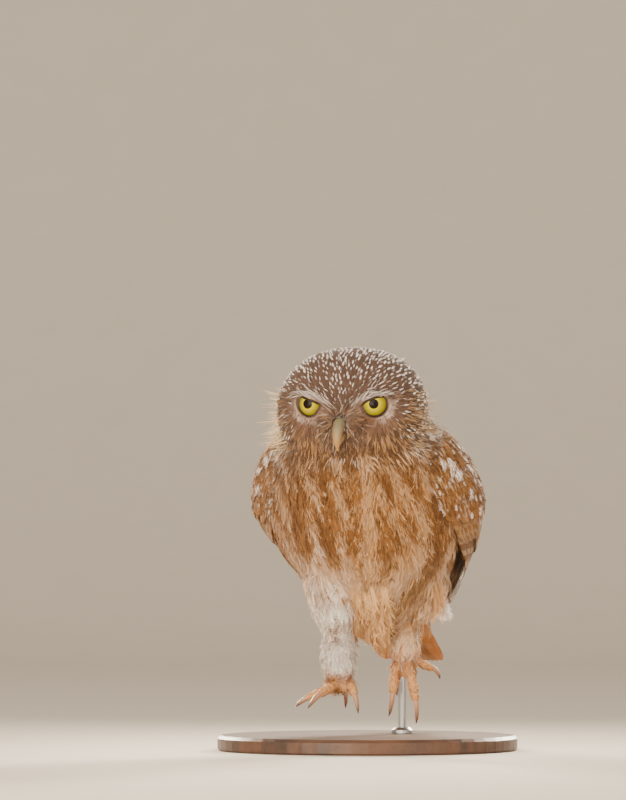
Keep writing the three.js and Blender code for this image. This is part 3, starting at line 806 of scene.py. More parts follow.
class Surface:
    """A mesh that feathers grow on: nearest points, smooth normals and random roots on it."""

    def __init__(self, points, tris, normals, region):
        self.points = points
        self.tris = tris
        self.normals = normals
        self.region = region
        self.tree = BVHTree.FromPolygons(points.tolist(), tris.tolist())

    def nearest(self, p):
        feet = np.empty_like(p)
        faces = np.empty(len(p), int)
        for i, at in enumerate(p):
            foot, _, face, _ = self.tree.find_nearest(at)
            feet[i] = foot
            faces[i] = face
        return feet, unit(self.normals[self.tris[faces]].mean(1))

    def roots(self, tries, spacing):
        """Random points no nearer than spacing(points, regions), where spacing 0 leaves a place bare."""
        a, b, c = [self.points[self.tris[:, k]] for k in range(3)]
        area = np.linalg.norm(np.cross(b - a, c - a), axis=1)
        face = rng.choice(len(area), tries, p=area / area.sum())
        s, t = rng.random(tries), rng.random(tries)
        over = s + t > 1
        s[over], t[over] = 1 - s[over], 1 - t[over]
        p = a[face] + s[:, None] * (b - a)[face] + t[:, None] * (c - a)[face]
        region = self.region[self.tris[face, 0]]
        apart = spacing(p, region)
        p, face, apart, region = kept(apart > 0, p, face, apart, region)
        tree = KDTree(len(p))
        for i, at in enumerate(p):
            tree.insert(at, i)
        tree.balance()
        alive = np.ones(len(p), bool)
        for i, at in enumerate(p):
            if alive[i]:
                for _, j, _ in tree.find_range(at, apart[i]):
                    if j > i:
                        alive[j] = False
        normal = unit(self.normals[self.tris[face[alive]]].mean(1))
        return p[alive], normal, region[alive]


def make_skin():
    sources = [(HEAD, [cad_surface("head")]), (TORSO, [cad_surface("torso")])]
    for kind, part in ((THIGH, "thigh_"), (SHANK, "shank_")):
        sources.append((kind, [cad_surface(part + name) for name, _ in SIDES]))
    sources.append((TOES, toe_surfaces()))
    hidden = [sphere(eye_centre(side), EYE_RADIUS + 0.1) for _, side in SIDES]
    for bill in (UPPER_BILL, LOWER_BILL):
        core = [(at, wide * 0.75, deep * 0.75) for at, wide, deep in bill[:-1]]
        hidden.append(closed_tris(closed_limb(core, sides=16, rings=12)))
    sources.append((HIDDEN, hidden))
    everything = joined([s for _, group in sources for s in group])
    points, quads, edges = remeshed(*everything)
    best = np.full(len(points), 1e9)
    region = np.zeros(len(points), int)
    for kind, group in sources:
        tree = BVHTree.FromPolygons(*[part.tolist() for part in joined(group)])
        away = np.array([tree.find_nearest(p)[3] for p in points])
        nearer = away < best
        best[nearer] = away[nearer]
        region[nearer] = kind
    soft = averaged(points, edges, 6)
    firm = averaged(points, edges, 1)
    points = np.where((region == TOES)[:, None], firm, soft)
    smoothest = averaged(points, edges, 45)
    leg = np.isin(region, LEG)
    for parts in LEGS.values():
        knee = (seen(*parts["thigh"][1]) + seen(*parts["shank"][0])) / 2
        share = smooth(-np.linalg.norm(points - knee, axis=1), -15, -9) * leg
        points = blend(points, smoothest, share)
    normals = vertex_normals(points, quads)
    depth = averaged(coat_depth(points, region) + GROWTH, edges, 8)
    points = points - normals * depth
    points = averaged(points, edges, 2)
    gap = beyond_lids(points)
    for _, side in SIDES:
        centre = eye_centre(side)
        ahead = eye_axes(side)[2]
        ray = points - centre
        away = np.linalg.norm(ray, axis=1)
        front = (ray @ ahead > 0) & (away < 14)
        opened = front & (gap < EYE_OPENING)
        covered = front & (gap >= EYE_OPENING) & (away < EYE_RADIUS + 0.5)
        for mine, limit in ((opened, EYE_RADIUS - 1.0), (covered, EYE_RADIUS + 0.5)):
            points[mine] = centre + ray[mine] / away[mine, None] * limit
    normals = vertex_normals(points, quads)
    return points, quads, normals, region, edges


# Plumage colours by place
def cloud(p, scale, seed):
    """Smooth noise from 0 to 1 out of a few fixed waves."""
    made = np.zeros(len(p))
    waves = np.random.default_rng(seed)
    for _ in range(7):
        direction = unit(waves.normal(size=3))
        along = p @ direction * (2 * math.pi / scale)
        made += np.sin(along * waves.uniform(0.6, 1.6) + waves.uniform(0, 6.3))
    return np.clip(0.5 + made / 5.2, 0, 1)


CROWN_BROWN = srgb(107, 81, 66)
BACK_BROWN = srgb(100, 72, 50)
BREAST_BROWN = srgb(156, 102, 46)
THROAT_BROWN = srgb(136, 91, 47)
PALE = srgb(212, 164, 108)
WHITE = srgb(244, 234, 226)
LEG_WHITE = srgb(253, 240, 229)
LEG_TAN = srgb(250, 206, 152)
FRINGE_PALE = srgb(252, 220, 172)
DISC_BROWN = srgb(128, 94, 72)
DISC_GREY = srgb(192, 170, 156)
LASH_BROWN = srgb(58, 40, 28)
TOE_SKIN = srgb(206, 148, 92)
BELLY_PALE = srgb(238, 194, 140)


def body_pale(p):
    """How pale the underside is: 0 on the throat and upper breast, 1 on the belly and vent."""
    back = smooth(p[:, 1], 18, 40) * smooth(p[:, 2], 84, 96)
    low = smooth(-p[:, 2], -116, -88)
    return low * (1 - back)


def backness(p, n):
    """1 on the back and mantle, 0 on the underside and flanks."""
    return smooth(n[:, 1] + 0.2 * (p[:, 2] - 120) / 40, 0.15, 0.5)


def patch(p, x, z, wide, tall):
    """1 at a place of the picture's plane on the front of the owl, fading over a half width and height."""
    return bell((picture_x(p) - x) / wide, (p[:, 2] - z) / tall) * (p[:, 1] < 20)


def face_tone(p):
    """Facial disc: dark lid edge, grey crescent outside and below each eye, painted shade beside the bill,
    brown rays, pale brow.
    """
    away, angle = eye_polar(p)
    x = np.abs(p[:, 0])
    tone = even(DISC_BROWN, p)
    start = np.where(p[:, 0] < 0, -150, -104)
    outer = smooth(angle - start, 0, 42) * smooth(-angle, -34, -4)
    crescent = smooth(away, 6.8, 7.8) * smooth(-away, -12.2, -9.8) * outer
    tone = blend(tone, DISC_GREY, crescent * (0.55 + 0.45 * cloud(p, 5, 21)))
    inner = bell((x - 7.2) / 2.6, (p[:, 2] - 175.5) / 4.2)
    tone = blend(tone, DISC_GREY, inner * 0.45)
    # painted shade: the disc darkened beside the bill, under the inner corners of the eyes
    painted_shade = bell((x - 9) / 3.6, (p[:, 2] - 168) / 4.5)
    tone = blend(tone, DISC_BROWN * 0.45, painted_shade * 0.75)
    tone = blend(tone, THROAT_BROWN, smooth(-p[:, 2], -163, -156))
    corner = bell(np.hypot(x - 25.2, p[:, 2] - 184.2) / 1.7)
    tone = blend(tone, LASH_BROWN, np.maximum(smooth(-beyond_lids(p), -1.7, -0.9), corner) * 0.9)
    brow = bell((above_brow(p) + 0.3) / 1.2) * smooth(x, 4, 7) * smooth(-x, -27, -20)
    return blend(tone, WHITE, brow * 0.8)


def head_side(p):
    """1 on the side of the head outside the facial disc, with a ragged edge."""
    return smooth(np.abs(p[:, 0]) + 5 * (cloud(p, 6, 41) - 0.5), 24.5, 29.5) * smooth(p[:, 2], 158, 168)


def knee_patch(p):
    """1 on the front of the right leg, just below the knee, where the feathers are barred with brown."""
    x, y, z = (p @ TURN.T).T
    return bell((x + 17.0) / 4.6, (z - 63) / 5.5) * smooth(-y, -6, 2)


def leg_bars(p):
    return knee_patch(p) * smooth(np.sin(p[:, 2] * 1.7 + p[:, 0] * 0.8), -0.2, 0.3)


def plumage_tone(p, n, region):
    """Ground colour of skin and coat alike."""
    tone = blend(BREAST_BROWN, BELLY_PALE, body_pale(p) * 0.85)
    tone = blend(tone, THROAT_BROWN, smooth(p[:, 2], 138, 152))
    tone = blend(tone, BACK_BROWN, backness(p, n))
    head = smooth(above_neck(p), -6, 6)
    disc = disc_share(p) * (1 - 0.8 * head_side(p))
    face = blend(CROWN_BROWN, face_tone(p), disc)
    tone = blend(tone, face, head)
    for x, z, wide, tall in ((-42, 154, 5, 5), (31, 163.5, 7, 3.2), (23, 157, 5, 2.6)):
        white = patch(p, x, z, wide, tall) * smooth(cloud(p, 3.2, 22), 0.42, 0.56)
        tone = blend(tone, WHITE, white * 0.85)
    leg = blend(LEG_WHITE, LEG_TAN, np.where(p[:, 0] > 3, 0.85, 0.0))
    leg = blend(leg, BREAST_BROWN, smooth(cloud(p, 15, 5), 0.66, 0.8) * smooth(p[:, 2], 52, 64) * 0.4)
    leg = blend(leg, BREAST_BROWN * 0.8, leg_bars(p) * 0.9)
    ankle = np.where(p[:, 0] > 3, smooth(-p[:, 2], -56, -48), smooth(-p[:, 2], -46, -38))
    leg = blend(leg, TOE_SKIN, ankle * 0.9)
    tone = np.where(np.isin(region, LEG)[:, None], leg, tone)
    return np.where((region == TOES)[:, None], TOE_SKIN, tone)


skin_points, skin_quads, skin_normals, skin_region, skin_edges = make_skin()
toe_share = averaged((skin_region == TOES).astype(float), skin_edges, 3)
skin_tone = plumage_tone(skin_points, skin_normals, skin_region) * 0.9
flesh = ["head", "torso"]
for side_name, _ in SIDES:
    flesh += ["thigh_" + side_name, "shank_" + side_name]
    flesh += ["toe_%s_%s" % (side_name, toe) for toe in TOE_RADIUS]
skin_colours = {"tone": np.hstack([skin_tone, toe_share])}
piece(build("skin", skin_points, [skin_quads], SKIN, colours=skin_colours), flesh)
SKIN_SURFACE = Surface(skin_points, triangles(skin_quads), skin_normals, skin_region)


# Feather shapes
class Template:
    """A feather laid out flat: where each point is along (0 to 1), across (in half widths) and up."""

    def __init__(self, rows, columns, core, barbs, tips, splay, camber=0.25, pointed=0.55):
        along, across, up, loose, quads, tris = [], [], [], [], [], []

        def width(v):
            return math.sin(math.pi * min(v, 0.999) ** pointed) ** 0.6

        def put(v, u, z, free):
            along.append(v)
            across.append(u)
            up.append(z)
            loose.append(free)
            return len(along) - 1

        narrowest = 0.16
        levels = np.linspace(0, 0.97, rows)
        for v in levels:
            for u in np.linspace(-1, 1, columns):
                w = max(width(v), narrowest) * core
                put(v, u * w, -camber * u * u * w, 0.06)
        for r in range(rows - 1):
            for c in range(columns - 1):
                a = r * columns + c
                quads.append((a, a + 1, a + columns + 1, a + columns))
        for side in (-1, 1):
            for i in range(barbs):
                v = 0.1 + 0.84 * (i + 0.5) / barbs
                span = 0.42 / barbs
                edge = [max(width(w), narrowest) * core * 0.9 for w in (v - span, v + span)]
                tip = min(v + splay, 1.12)
                out = width(min(v + splay * 0.45, 0.97)) + 0.1
                tris.append((
                    put(v - span, side * edge[0], -camber * edge[0], 0.05),
                    put(v + span, side * edge[1], -camber * edge[1], 0.05),
                    put(tip, side * out, -camber * out * 0.8, 1.0),
                ))
        for i in range(tips):
            u = (i + 0.5) / tips * 2 - 1
            w = core * 0.55
            tris.append((
                put(0.92, (u - 0.9 / tips) * w, -camber * abs(u) * w, 0.05),
                put(0.92, (u + 0.9 / tips) * w, -camber * abs(u) * w, 0.05),
                put(1.1 - 0.06 * abs(u), u * w * 1.5, -camber * abs(u) * w, 1.0),
            ))
        self.along = np.array(along)
        self.across = np.array(across)
        self.up = np.array(up)
        self.loose = np.array(loose)
        self.quads = np.array(quads, int).reshape(-1, 4)
        self.tris = np.array(tris, int).reshape(-1, 3)


SOFT = Template(rows=6, columns=3, core=0.66, barbs=10, tips=6, splay=0.17)
NEAT = Template(rows=6, columns=3, core=0.86, barbs=7, tips=5, splay=0.09)
SMALL = Template(rows=4, columns=3, core=0.74, barbs=4, tips=4, splay=0.2)
FLUFF = Template(rows=4, columns=2, core=0.4, barbs=9, tips=5, splay=0.3)
HAIR = Template(rows=4, columns=2, core=1.0, barbs=0, tips=0, splay=0.1, camber=0.0, pointed=0.42)
LOCK = Template(rows=4, columns=2, core=0.42, barbs=4, tips=3, splay=0.34)


PATCH = 0.0026
FACE_LIMIT = 185000


def patch_map(u, v):
    """A feather's own small patch of the bake map."""
    return beside(u * (PATCH / 2), (v - 0.5) * PATCH)


def rgba(values):
    return np.hstack([values, np.ones((len(values), 1))]) if values.shape[1] == 3 else values


class Coat:
    """Feathers gathered for one part of the body, written out as pieces under the face limit."""

    def __init__(self, name, slot, unwrap, material=PLUME):
        self.name = name
        self.slot = slot
        self.unwrap = unwrap
        self.material = material
        self.batches = []

    def add(self, template, place, half, tone, mark=None, pattern=None, wild=0.25):
        """One template on many places: roots, middles, tips, and the normals at each of them."""
        *frames, normals = place
        count = len(tone)
        if not count:
            return
        v = template.along
        basis = np.stack([(1 - v) * (1 - 2 * v), 4 * v * (1 - v), v * (2 * v - 1)])
        slope = np.stack([4 * v - 3, 4 - 8 * v, 4 * v - 1])
        frames = np.stack(frames)
        centre = np.einsum("km,kni->nmi", basis, frames)
        run = unit(np.einsum("km,kni->nmi", slope, frames))
        raised = np.einsum("km,kni->nmi", np.stack([1 - v, 0 * v, v]), np.stack(normals))
        raised = along_surface(raised, run)
        width = half[:, None] * np.ones(len(v))
        across, up, onward = [
            share * half[:, None] * template.loose * rng.normal(size=width.shape)
            for share in (wild, 0.45 * wild, 0.5 * wild)]
        across = template.across * width + across
        up = template.up * width + up
        points = centre + np.cross(run, raised) * across[..., None]
        points = points + raised * up[..., None] + run * onward[..., None]
        bake = self.unwrap(frames[0])[:, None, :] + patch_map(template.across, v)
        vane = np.broadcast_to(beside(template.across, v), bake.shape)
        mark = tone if mark is None else mark
        pattern = np.zeros((count, 4)) if pattern is None else pattern
        self.batches.append((template.quads, template.tris, points, bake, vane, tone, mark, pattern))

    def add_vane(self, rings, u, levels, root, tone, mark, pattern):
        """One closed vane."""
        points, quads, caps = loft(rings)
        vane = np.stack(np.broadcast_arrays(u, levels[:, None]), -1).reshape(-1, 2)
        vane = np.concatenate([vane, [[0, levels[0]], [0, levels[-1]]]])
        bake = self.unwrap(root[None]) + patch_map(vane[:, 0], vane[:, 1])
        layers = [values[None] for values in (points, bake, vane, tone, mark, pattern)]
        self.batches.append((quads, caps, *layers))

    def write(self):
        number, held, room = 1, [], FACE_LIMIT
        for quads, tris, *layers in self.batches:
            each = 2 * len(quads) + len(tris)
            start = 0
            while start < len(layers[0]):
                end = start + max(room // each, 1)
                part = [values[start:end] for values in layers]
                held.append((quads, tris, *part))
                room -= len(part[0]) * each
                start = end
                if room < each:
                    self.write_piece("%s_%d" % (self.name, number), held)
                    number, held, room = number + 1, [], FACE_LIMIT
        if held:
            self.write_piece("%s_%d" % (self.name, number), held)

    def write_piece(self, name, held):
        gathered = [[] for _ in range(8)]
        start = 0
        for quads, tris, points, bake, vane, *colours in held:
            count, size = points.shape[:2]
            offset = start + size * np.arange(count)[:, None, None]
            part = [(quads + offset).reshape(-1, 4), (tris + offset).reshape(-1, 3), points.reshape(-1, 3)]
            part += [bake.reshape(-1, 2), vane.reshape(-1, 2)]
            part += [np.repeat(rgba(values), size, axis=0) for values in colours]
            for values, more in zip(gathered, part):
                values.append(more)
            start += count * size
        quads, tris, points, bake, vane, tone, mark, pattern = [np.concatenate(v) for v in gathered]
        obj = build(name, points, [quads, tris], self.material, {"OFBake": bake, "vane": vane},
                    {"tone": tone, "mark": mark, "pattern": pattern})
        piece(obj)


def round_head(p):
    """Head unwrap: longitude and height angle about its centre."""
    ray = p - HEAD_CENTRE
    turn = np.arctan2(ray[:, 0], -ray[:, 1]) / (2 * math.pi) + 0.5
    tilt = np.arctan2(ray[:, 2], np.hypot(ray[:, 0], ray[:, 1])) / math.pi + 0.5
    return beside(turn * 0.98 + 0.01, tilt * 0.98 + 0.01)


def round_line(start, end):
    """Unwrap about a straight line, for a body or a limb, reaching a little past both its ends."""
    reach = 1.3
    start, end = np.asarray(start, float), np.asarray(end, float)
    run = unit(end - start)
    aside = unit(np.cross(run, (0.3, 1, 0.1)))
    front = np.cross(run, aside)

    def unwrap(p):
        ray = p - start
        turn = np.arctan2(ray @ aside, ray @ front) / (2 * math.pi) + 0.5
        level = (ray @ run) / np.linalg.norm(end - start) / reach + 0.5 * (1 - 1 / reach)
        return beside(turn, np.clip(level, 0, 1)) * 0.98 + 0.01

    return unwrap


def laid(surface, root, normal, direction, length, middle_height, tip_height, sink=0.3):
    """Roots, middles and tips of feathers that follow a surface, and the normals at each of them."""
    run = along_surface(direction, normal)
    middle, middle_normal = surface.nearest(root + run * (length * 0.52)[:, None])
    onward = along_surface(middle - root, middle_normal)
    turned = along_surface(onward * 0.7 + run * 0.3, middle_normal)
    tip, tip_normal = surface.nearest(middle + turned * (length * 0.48)[:, None])
    return (
        root - normal * sink,
        middle + middle_normal * middle_height[:, None],
        tip + tip_normal * tip_height[:, None],
        (normal, middle_normal, tip_normal),
    )


def straight(p, n, direction, length, low, high, sink=0.0):
    """The same for feathers that stand free, with the heights of their middles and tips."""
    length, low, high = [np.reshape(values, (-1, 1)) for values in (length, low, high)]
    middle = p + direction * (length * 0.5) + n * low
    return p - n * sink, middle, p + direction * length + n * high, [n, n, n]


def jitter(direction, normal, amount):
    aside = np.cross(direction, normal)
    return unit(direction + aside * (rng.normal(size=len(direction)) * amount)[:, None])


def spread(p, low, high):
    """One random value for each feather."""
    return rng.uniform(low, high, len(p))


def chosen(p, share):
    """A random share of the feathers."""
    return rng.random(len(p)) < share


def varied(tone, amount):
    """Each feather a little lighter or darker than its neighbours."""
    return np.clip(tone * (1 + rng.normal(size=(len(tone), 1)) * amount), 0.002, 0.95)


def body_lie(p, n):
    """Down and back, leaning as the breast feathers in the picture do."""
    x = picture_x(p)
    lean = 0.42 * smooth(-x, 4, 16) + 0.3 * smooth(x, 2, 12) * (smooth(p[:, 2], 96, 108) * 2 - 1)
    front = beside(lean, 0.12, -1.0) @ TURN
    back = even((0.0, 0.42, -1.0), p)
    side = back + (0, 0.2, 0)
    share = smooth(n[:, 1], -0.5, 0.1)
    return blend(front, side, share)


def head_lie(p):
    """From the bill over the crown to the nape, and outward round each eye."""
    ray = unit(p - (BILL_ROOT + (0, 6, 0)))
    crown = ray + beside(0, 0, -1.3 * smooth(p[:, 1], -24, 6))
    eye = even((FACE_EYE_X, -52.0, EYE_Z), p)
    eye[:, 0] *= np.sign(p[:, 0])
    radial = unit(p - eye)
    bill = unit(p - BILL_ROOT)
    bill[:, 2] -= 0.25
    near = bill_near(p)
    between = smooth(-np.abs(p[:, 0]), -9, -5) * smooth(p[:, 2], 168, 174)
    disc = blend(radial, bill, np.clip(near * 1.3 + between, 0, 1))
    disc[:, 2] -= 0.18 * smooth(EYE_Z - p[:, 2], 8, 20)
    return blend(crown, disc, disc_share(p))


def on_leg(p, side):
    """Which points belong to the leg of one side."""
    return (picture_x(p) > 3) == (side > 0)


def leg_lie(p, region):
    made = even((0.0, 0.0, -1.0), p)
    for name, side in SIDES:
        for kind, part in ((THIGH, "thigh"), (SHANK, "shank")):
            start, end = [seen(*at) for at in LEGS[name][part]]
            made[on_leg(p, side) & (region == kind)] = unit(end - start)
    return made


def lie(p, n, region):
    head = blend(body_lie(p, n), head_lie(p), smooth(above_neck(p), -7, 3))
    leg = np.isin(region, LEG)[:, None]
    return along_surface(np.where(leg, leg_lie(p, region), head), n)


# Body feathers
def under_wing(p, n):
    """1 where the folded wing lies over the body, so that only a thin coat is needed."""
    side = np.abs(p[:, 0]) > np.interp(p[:, 2], (90, 110, 130, 150), (30, 33, 36, 30))
    return side & (n[:, 1] > -0.25) & (p[:, 2] > 84) & (p[:, 2] < 150)


def long_patches(p):
    """Noise from 0 to 1 in long patches that run with the lie of the underside."""
    x = picture_x(p)
    below = p[:, 2] - 100
    across = x + 0.35 * np.where(x > 3, np.abs(below), below)
    return cloud(beside(across / 8, p[:, 1] / 24, p[:, 2] / 24), 1.0, 3)


def body_coat():
    coat = Coat("coat_body", "plumage", round_line((0, -20, 168), (3, 40, 76)))

    def spacing(p, region):
        made = np.where(region == TORSO, 2.15, 0.0)
        return np.where((region == HEAD) & (above_neck(p) < 1), 1.95, made)

    p, n, region = SKIN_SURFACE.roots(120000, spacing)
    covered = under_wing(p, n) & chosen(p, 0.6)
    p, n, region = kept(~covered, p, n, region)
    back = backness(p, n)
    front = 1 - back
    pale = body_pale(p)
    throat = smooth(p[:, 2], 134, 150) * front
    length = 15.5 - 6.0 * throat + 2.0 * pale - 2.5 * smooth(p[:, 2], 150, 160)
    length = length * spread(p, 0.82, 1.15)
    half = (2.35 - 0.9 * throat + 1.5 * back) * spread(p, 0.75, 1.2)
    direction = jitter(lie(p, n, region), n, 0.13 + 0.12 * throat)
    lift = 3.3 * spread(p, 0.7, 1.1)
    place = laid(SKIN_SURFACE, p, n, direction, length, lift * 0.62, lift)
    light = long_patches(p) * 0.72 + 0.28 * rng.random(len(p))
    left = smooth(-picture_x(p), 4, 20)
    share = 0.6 - 0.1 * throat - 0.14 * smooth(-p[:, 2], -124, -104) - 0.1 * left
    light = smooth(light, share - 0.04, share + 0.06) * front
    tone = plumage_tone(place[1], place[3][1], region)
    deep = (1 - light) * front * (0.9 - 0.5 * throat - 0.35 * pale)
    tone = blend(tone, BREAST_BROWN * 0.8, deep)
    flank = smooth(np.abs(picture_x(p) - 2), 12, 28) * smooth(-p[:, 2], -136, -116)
    bright = blend(PALE, WHITE, 0.22 * pale + 0.25 * left + 0.3 * flank)
    tone = blend(tone, bright, light * (0.8 - 0.35 * throat))
    tone = varied(tone, 0.08 + 0.09 * back[:, None])
    streak = front * light * pale * chosen(p, 0.4)
    patches = 0.2 + 0.5 * chosen(p, 0.5)
    patches = front * (1 - light) * patches * (1 - 0.4 * throat)
    mark = np.where((light > 0.5)[:, None], BREAST_BROWN * 0.92, PALE)
    mark = blend(mark, WHITE, back * 0.8)
    drop = back * chosen(p, 0.2) * 0.85
    pattern = beside(streak, drop, 0, patches)
    for template, mine in ((NEAT, back > 0.5), (SOFT, back <= 0.5)):
        coat.add(template, *kept(mine, place, half, tone, mark, pattern), wild=0.32)
    return coat


def wisps(coat):
    """Loose strands and fine hairs over the underside, lighter and darker than the feathers below."""
    layers = ((LOCK, 1.55, (6, 11), (0.3, 0.62)), (HAIR, 1.2, (7, 13), (0.1, 0.24)))
    for template, apart, lengths, halves in layers:
        def spacing(p, region):
            front = (p[:, 1] < 34) & (above_neck(p) < 2)
            return np.where(np.isin(region, BODY) & front, apart, 0.0)

        p, n, region = SKIN_SURFACE.roots(100000, spacing)
        p, n, region = kept(~under_wing(p, n) & (backness(p, n) < 0.35), p, n, region)
        throat = smooth(p[:, 2], 130, 146)
        length = spread(p, *lengths) * (1 - 0.3 * throat)
        direction = jitter(lie(p, n, region), n, 0.24 + 0.14 * throat)
        low = spread(p, 2.0, 3.1)
        high = spread(p, 3.3, 4.5)
        place = laid(SKIN_SURFACE, p, n, direction, length, low, high, sink=-1.6)
        light = long_patches(p) * 0.62 + 0.38 * rng.random(len(p))
        bright = blend(PALE, WHITE, 0.15 + 0.25 * body_pale(p))
        tone = blend(plumage_tone(p, n, region), bright, smooth(light, 0.52, 0.6) * 0.8)
        tone = blend(tone, BREAST_BROWN * 0.5, smooth(-light, -0.4, -0.3) * 0.75)
        tone = varied(tone, 0.12)
        coat.add(template, place, spread(p, *halves), tone, wild=0.5)


def clear_of_eyes(middle, tip):
    """Which feathers leave the eye openings free."""
    return (beyond_lids(middle) > 0.5) & (beyond_lids(tip) > 0.5)


# Head feathers
def head_coat():
    coat = Coat("coat_head", "plumage", round_head)

    def spacing(p, region):
        head = np.isin(region, BODY) & (above_neck(p) >= -1)
        made = 1.42 - 0.42 * smooth(-p[:, 1], 38, 50) + 0.5 * smooth(p[:, 1], -15, 5)
        return np.where(head & (disc_share(p) < 0.5), made, 0.0)

    p, n, region = SKIN_SURFACE.roots(110000, spacing)
    front = smooth(-p[:, 1], 36, 50)
    nape = smooth(p[:, 1], -18, 4)
    behind = np.maximum(nape, smooth(-above_neck(p), -14, 0))
    size = spread(p, 0.85, 1.15)
    length = (6.6 - 2.4 * front + 3.5 * behind) * size
    half = (1.35 - 0.5 * front + 0.8 * behind) * size
    direction = jitter(lie(p, n, region), n, 0.1)
    lift = (1.75 - 0.5 * front + 1.0 * behind) * spread(p, 0.8, 1.15)
    place = laid(SKIN_SURFACE, p, n, direction, length, lift * 0.6, lift)
    tone = varied(plumage_tone(place[1], place[3][1], region), 0.1)
    drop = chosen(p, 0.12 + 0.3 * nape) * spread(p, 0.6, 0.9)
    low_side = smooth(-p[:, 1], 20, 32) * smooth(-above_neck(p), -24, -6)
    patches = low_side * (cloud(p, 8, 4) > 0.5) * 0.8
    tone = blend(tone, PALE, low_side * chosen(p, 0.3) * 0.5)
    pattern = beside(0, drop * (1 - front * 0.6), 0, patches)
    coat.add(SMALL, place, half, tone, varied(even(WHITE, p), 0.06), pattern, wild=0.22)
    return coat


def crown_spots(coat):
    """White teardrop tips laid over the brown of the crown, each its own small feather."""
    def spacing(p, region):
        side = ((disc_share(p) < 0.3) & (p[:, 1] < -12)) | (head_side(p) > 0.45)
        crown = (region == HEAD) & ((above_brow(p) > 1.8) | side) & (above_neck(p) > 8)
        size = 2.05 - 0.5 * smooth(-p[:, 1], 34, 48) + 0.4 * smooth(np.abs(p[:, 0]), 16, 28)
        return np.where(crown, size, 0.0)

    p, n, region = SKIN_SURFACE.roots(40000, spacing)
    mine = chosen(p, 0.86 - 0.2 * smooth(-p[:, 1], 40, 50))
    p, n, region = kept(mine, p, n, region)
    size = spread(p, 0.45, 1.2)
    front = smooth(-p[:, 1], 36, 50)
    between = front * smooth(-above_brow(p), -11, -4)
    direction = jitter(lie(p, n, region), n, 0.22)
    length = (2.3 - 0.5 * front + 0.9 * between) * size
    lift = 2.05 * spread(p, 0.9, 1.1)
    place = laid(SKIN_SURFACE, p, n, direction, length, lift * 0.95, lift * 1.05, sink=-1.3)
    low = smooth(-above_brow(p), -2, 1)
    dull = spread(p, 0, 0.5) ** 2 + (0.5 * between + 0.6 * low) * rng.random(len(p))
    tone = varied(blend(WHITE, CROWN_BROWN, np.clip(dull, 0, 0.8)), 0.08)
    coat.add(SMALL, place, (0.68 - 0.2 * front - 0.2 * between) * size, tone, wild=0.2)


def stray_feathers(coat):
    """A few small feathers that stand up from the crown's far side, as a breeze has lifted them."""
    shape = (3, 3)
    for x, z, lean in ((5.8, 207.4, 0.2), (9.5, 206.6, 0.4), (15.5, 204.4, 1.1)):
        p, n = in_picture(SKIN_SURFACE, x, z - 3.5)
        root = p + rng.normal(size=shape) * 0.4
        direction = unit(n * 0.4 + seen(lean, -0.2, 1.0) + rng.normal(size=shape) * 0.25)
        length = spread(root, 2.6, 4.2)
        *place, tip, _ = straight(root, n, direction, length, low=0, high=0)
        facing = even(seen(0, -1, 0), root)
        place = (*place, tip + seen(0.8, 0, 0), [facing] * 3)
        coat.add(LOCK, place, spread(root, 0.25, 0.4), even(WHITE, root), wild=0.4)


def in_picture(surface, x, z):
    """Place and normal where a surface is seen at a place of the picture's plane."""
    foot, _, face, _ = surface.tree.ray_cast(seen(x, -300, z).tolist(), seen(0, 1, 0).tolist())
    return np.array(foot), unit(surface.normals[surface.tris[face]].mean(0))


def brows(coat):
    """White brows that rise from the root of the bill over both eyes."""
    def spacing(p, region):
        rise = above_brow(p)
        x = np.abs(p[:, 0])
        top = 0.7 - 0.7 * smooth(x, 13, 24)
        band = (rise > -1.6) & (rise < top) & (x > 3.4) & (x < 26) & (p[:, 1] < -36)
        return np.where(band & (region == HEAD), 0.66 + 0.5 * smooth(x, 19, 25), 0.0)

    p, n, region = SKIN_SURFACE.roots(90000, spacing)
    x = np.abs(p[:, 0])
    slope = np.interp(x, (3, 8, 15, 22, 30), (0.8, 0.68, 0.28, 0.12, 0.1))
    rising = beside(np.sign(p[:, 0]), 0.35, slope)
    direction = jitter(along_surface(rising, n), n, 0.13)
    length = spread(p, 3.4, 5.6)
    lift = spread(p, 1.1, 1.9)
    place = laid(SKIN_SURFACE, p, n, direction, length, lift * 0.85, lift)
    tone = varied(even(WHITE, p), 0.08)
    tone = blend(tone, DISC_GREY, spread(p, 0, 0.5))
    dull = chosen(p, 0.26 + 0.44 * smooth(x, 16, 24))
    tone = blend(tone, DISC_BROWN, dull * 0.75)
    place, tone = kept(clear_of_eyes(*place[1:3]), place, tone)
    coat.add(LOCK, place, spread(tone, 0.28, 0.46), tone, wild=0.35)


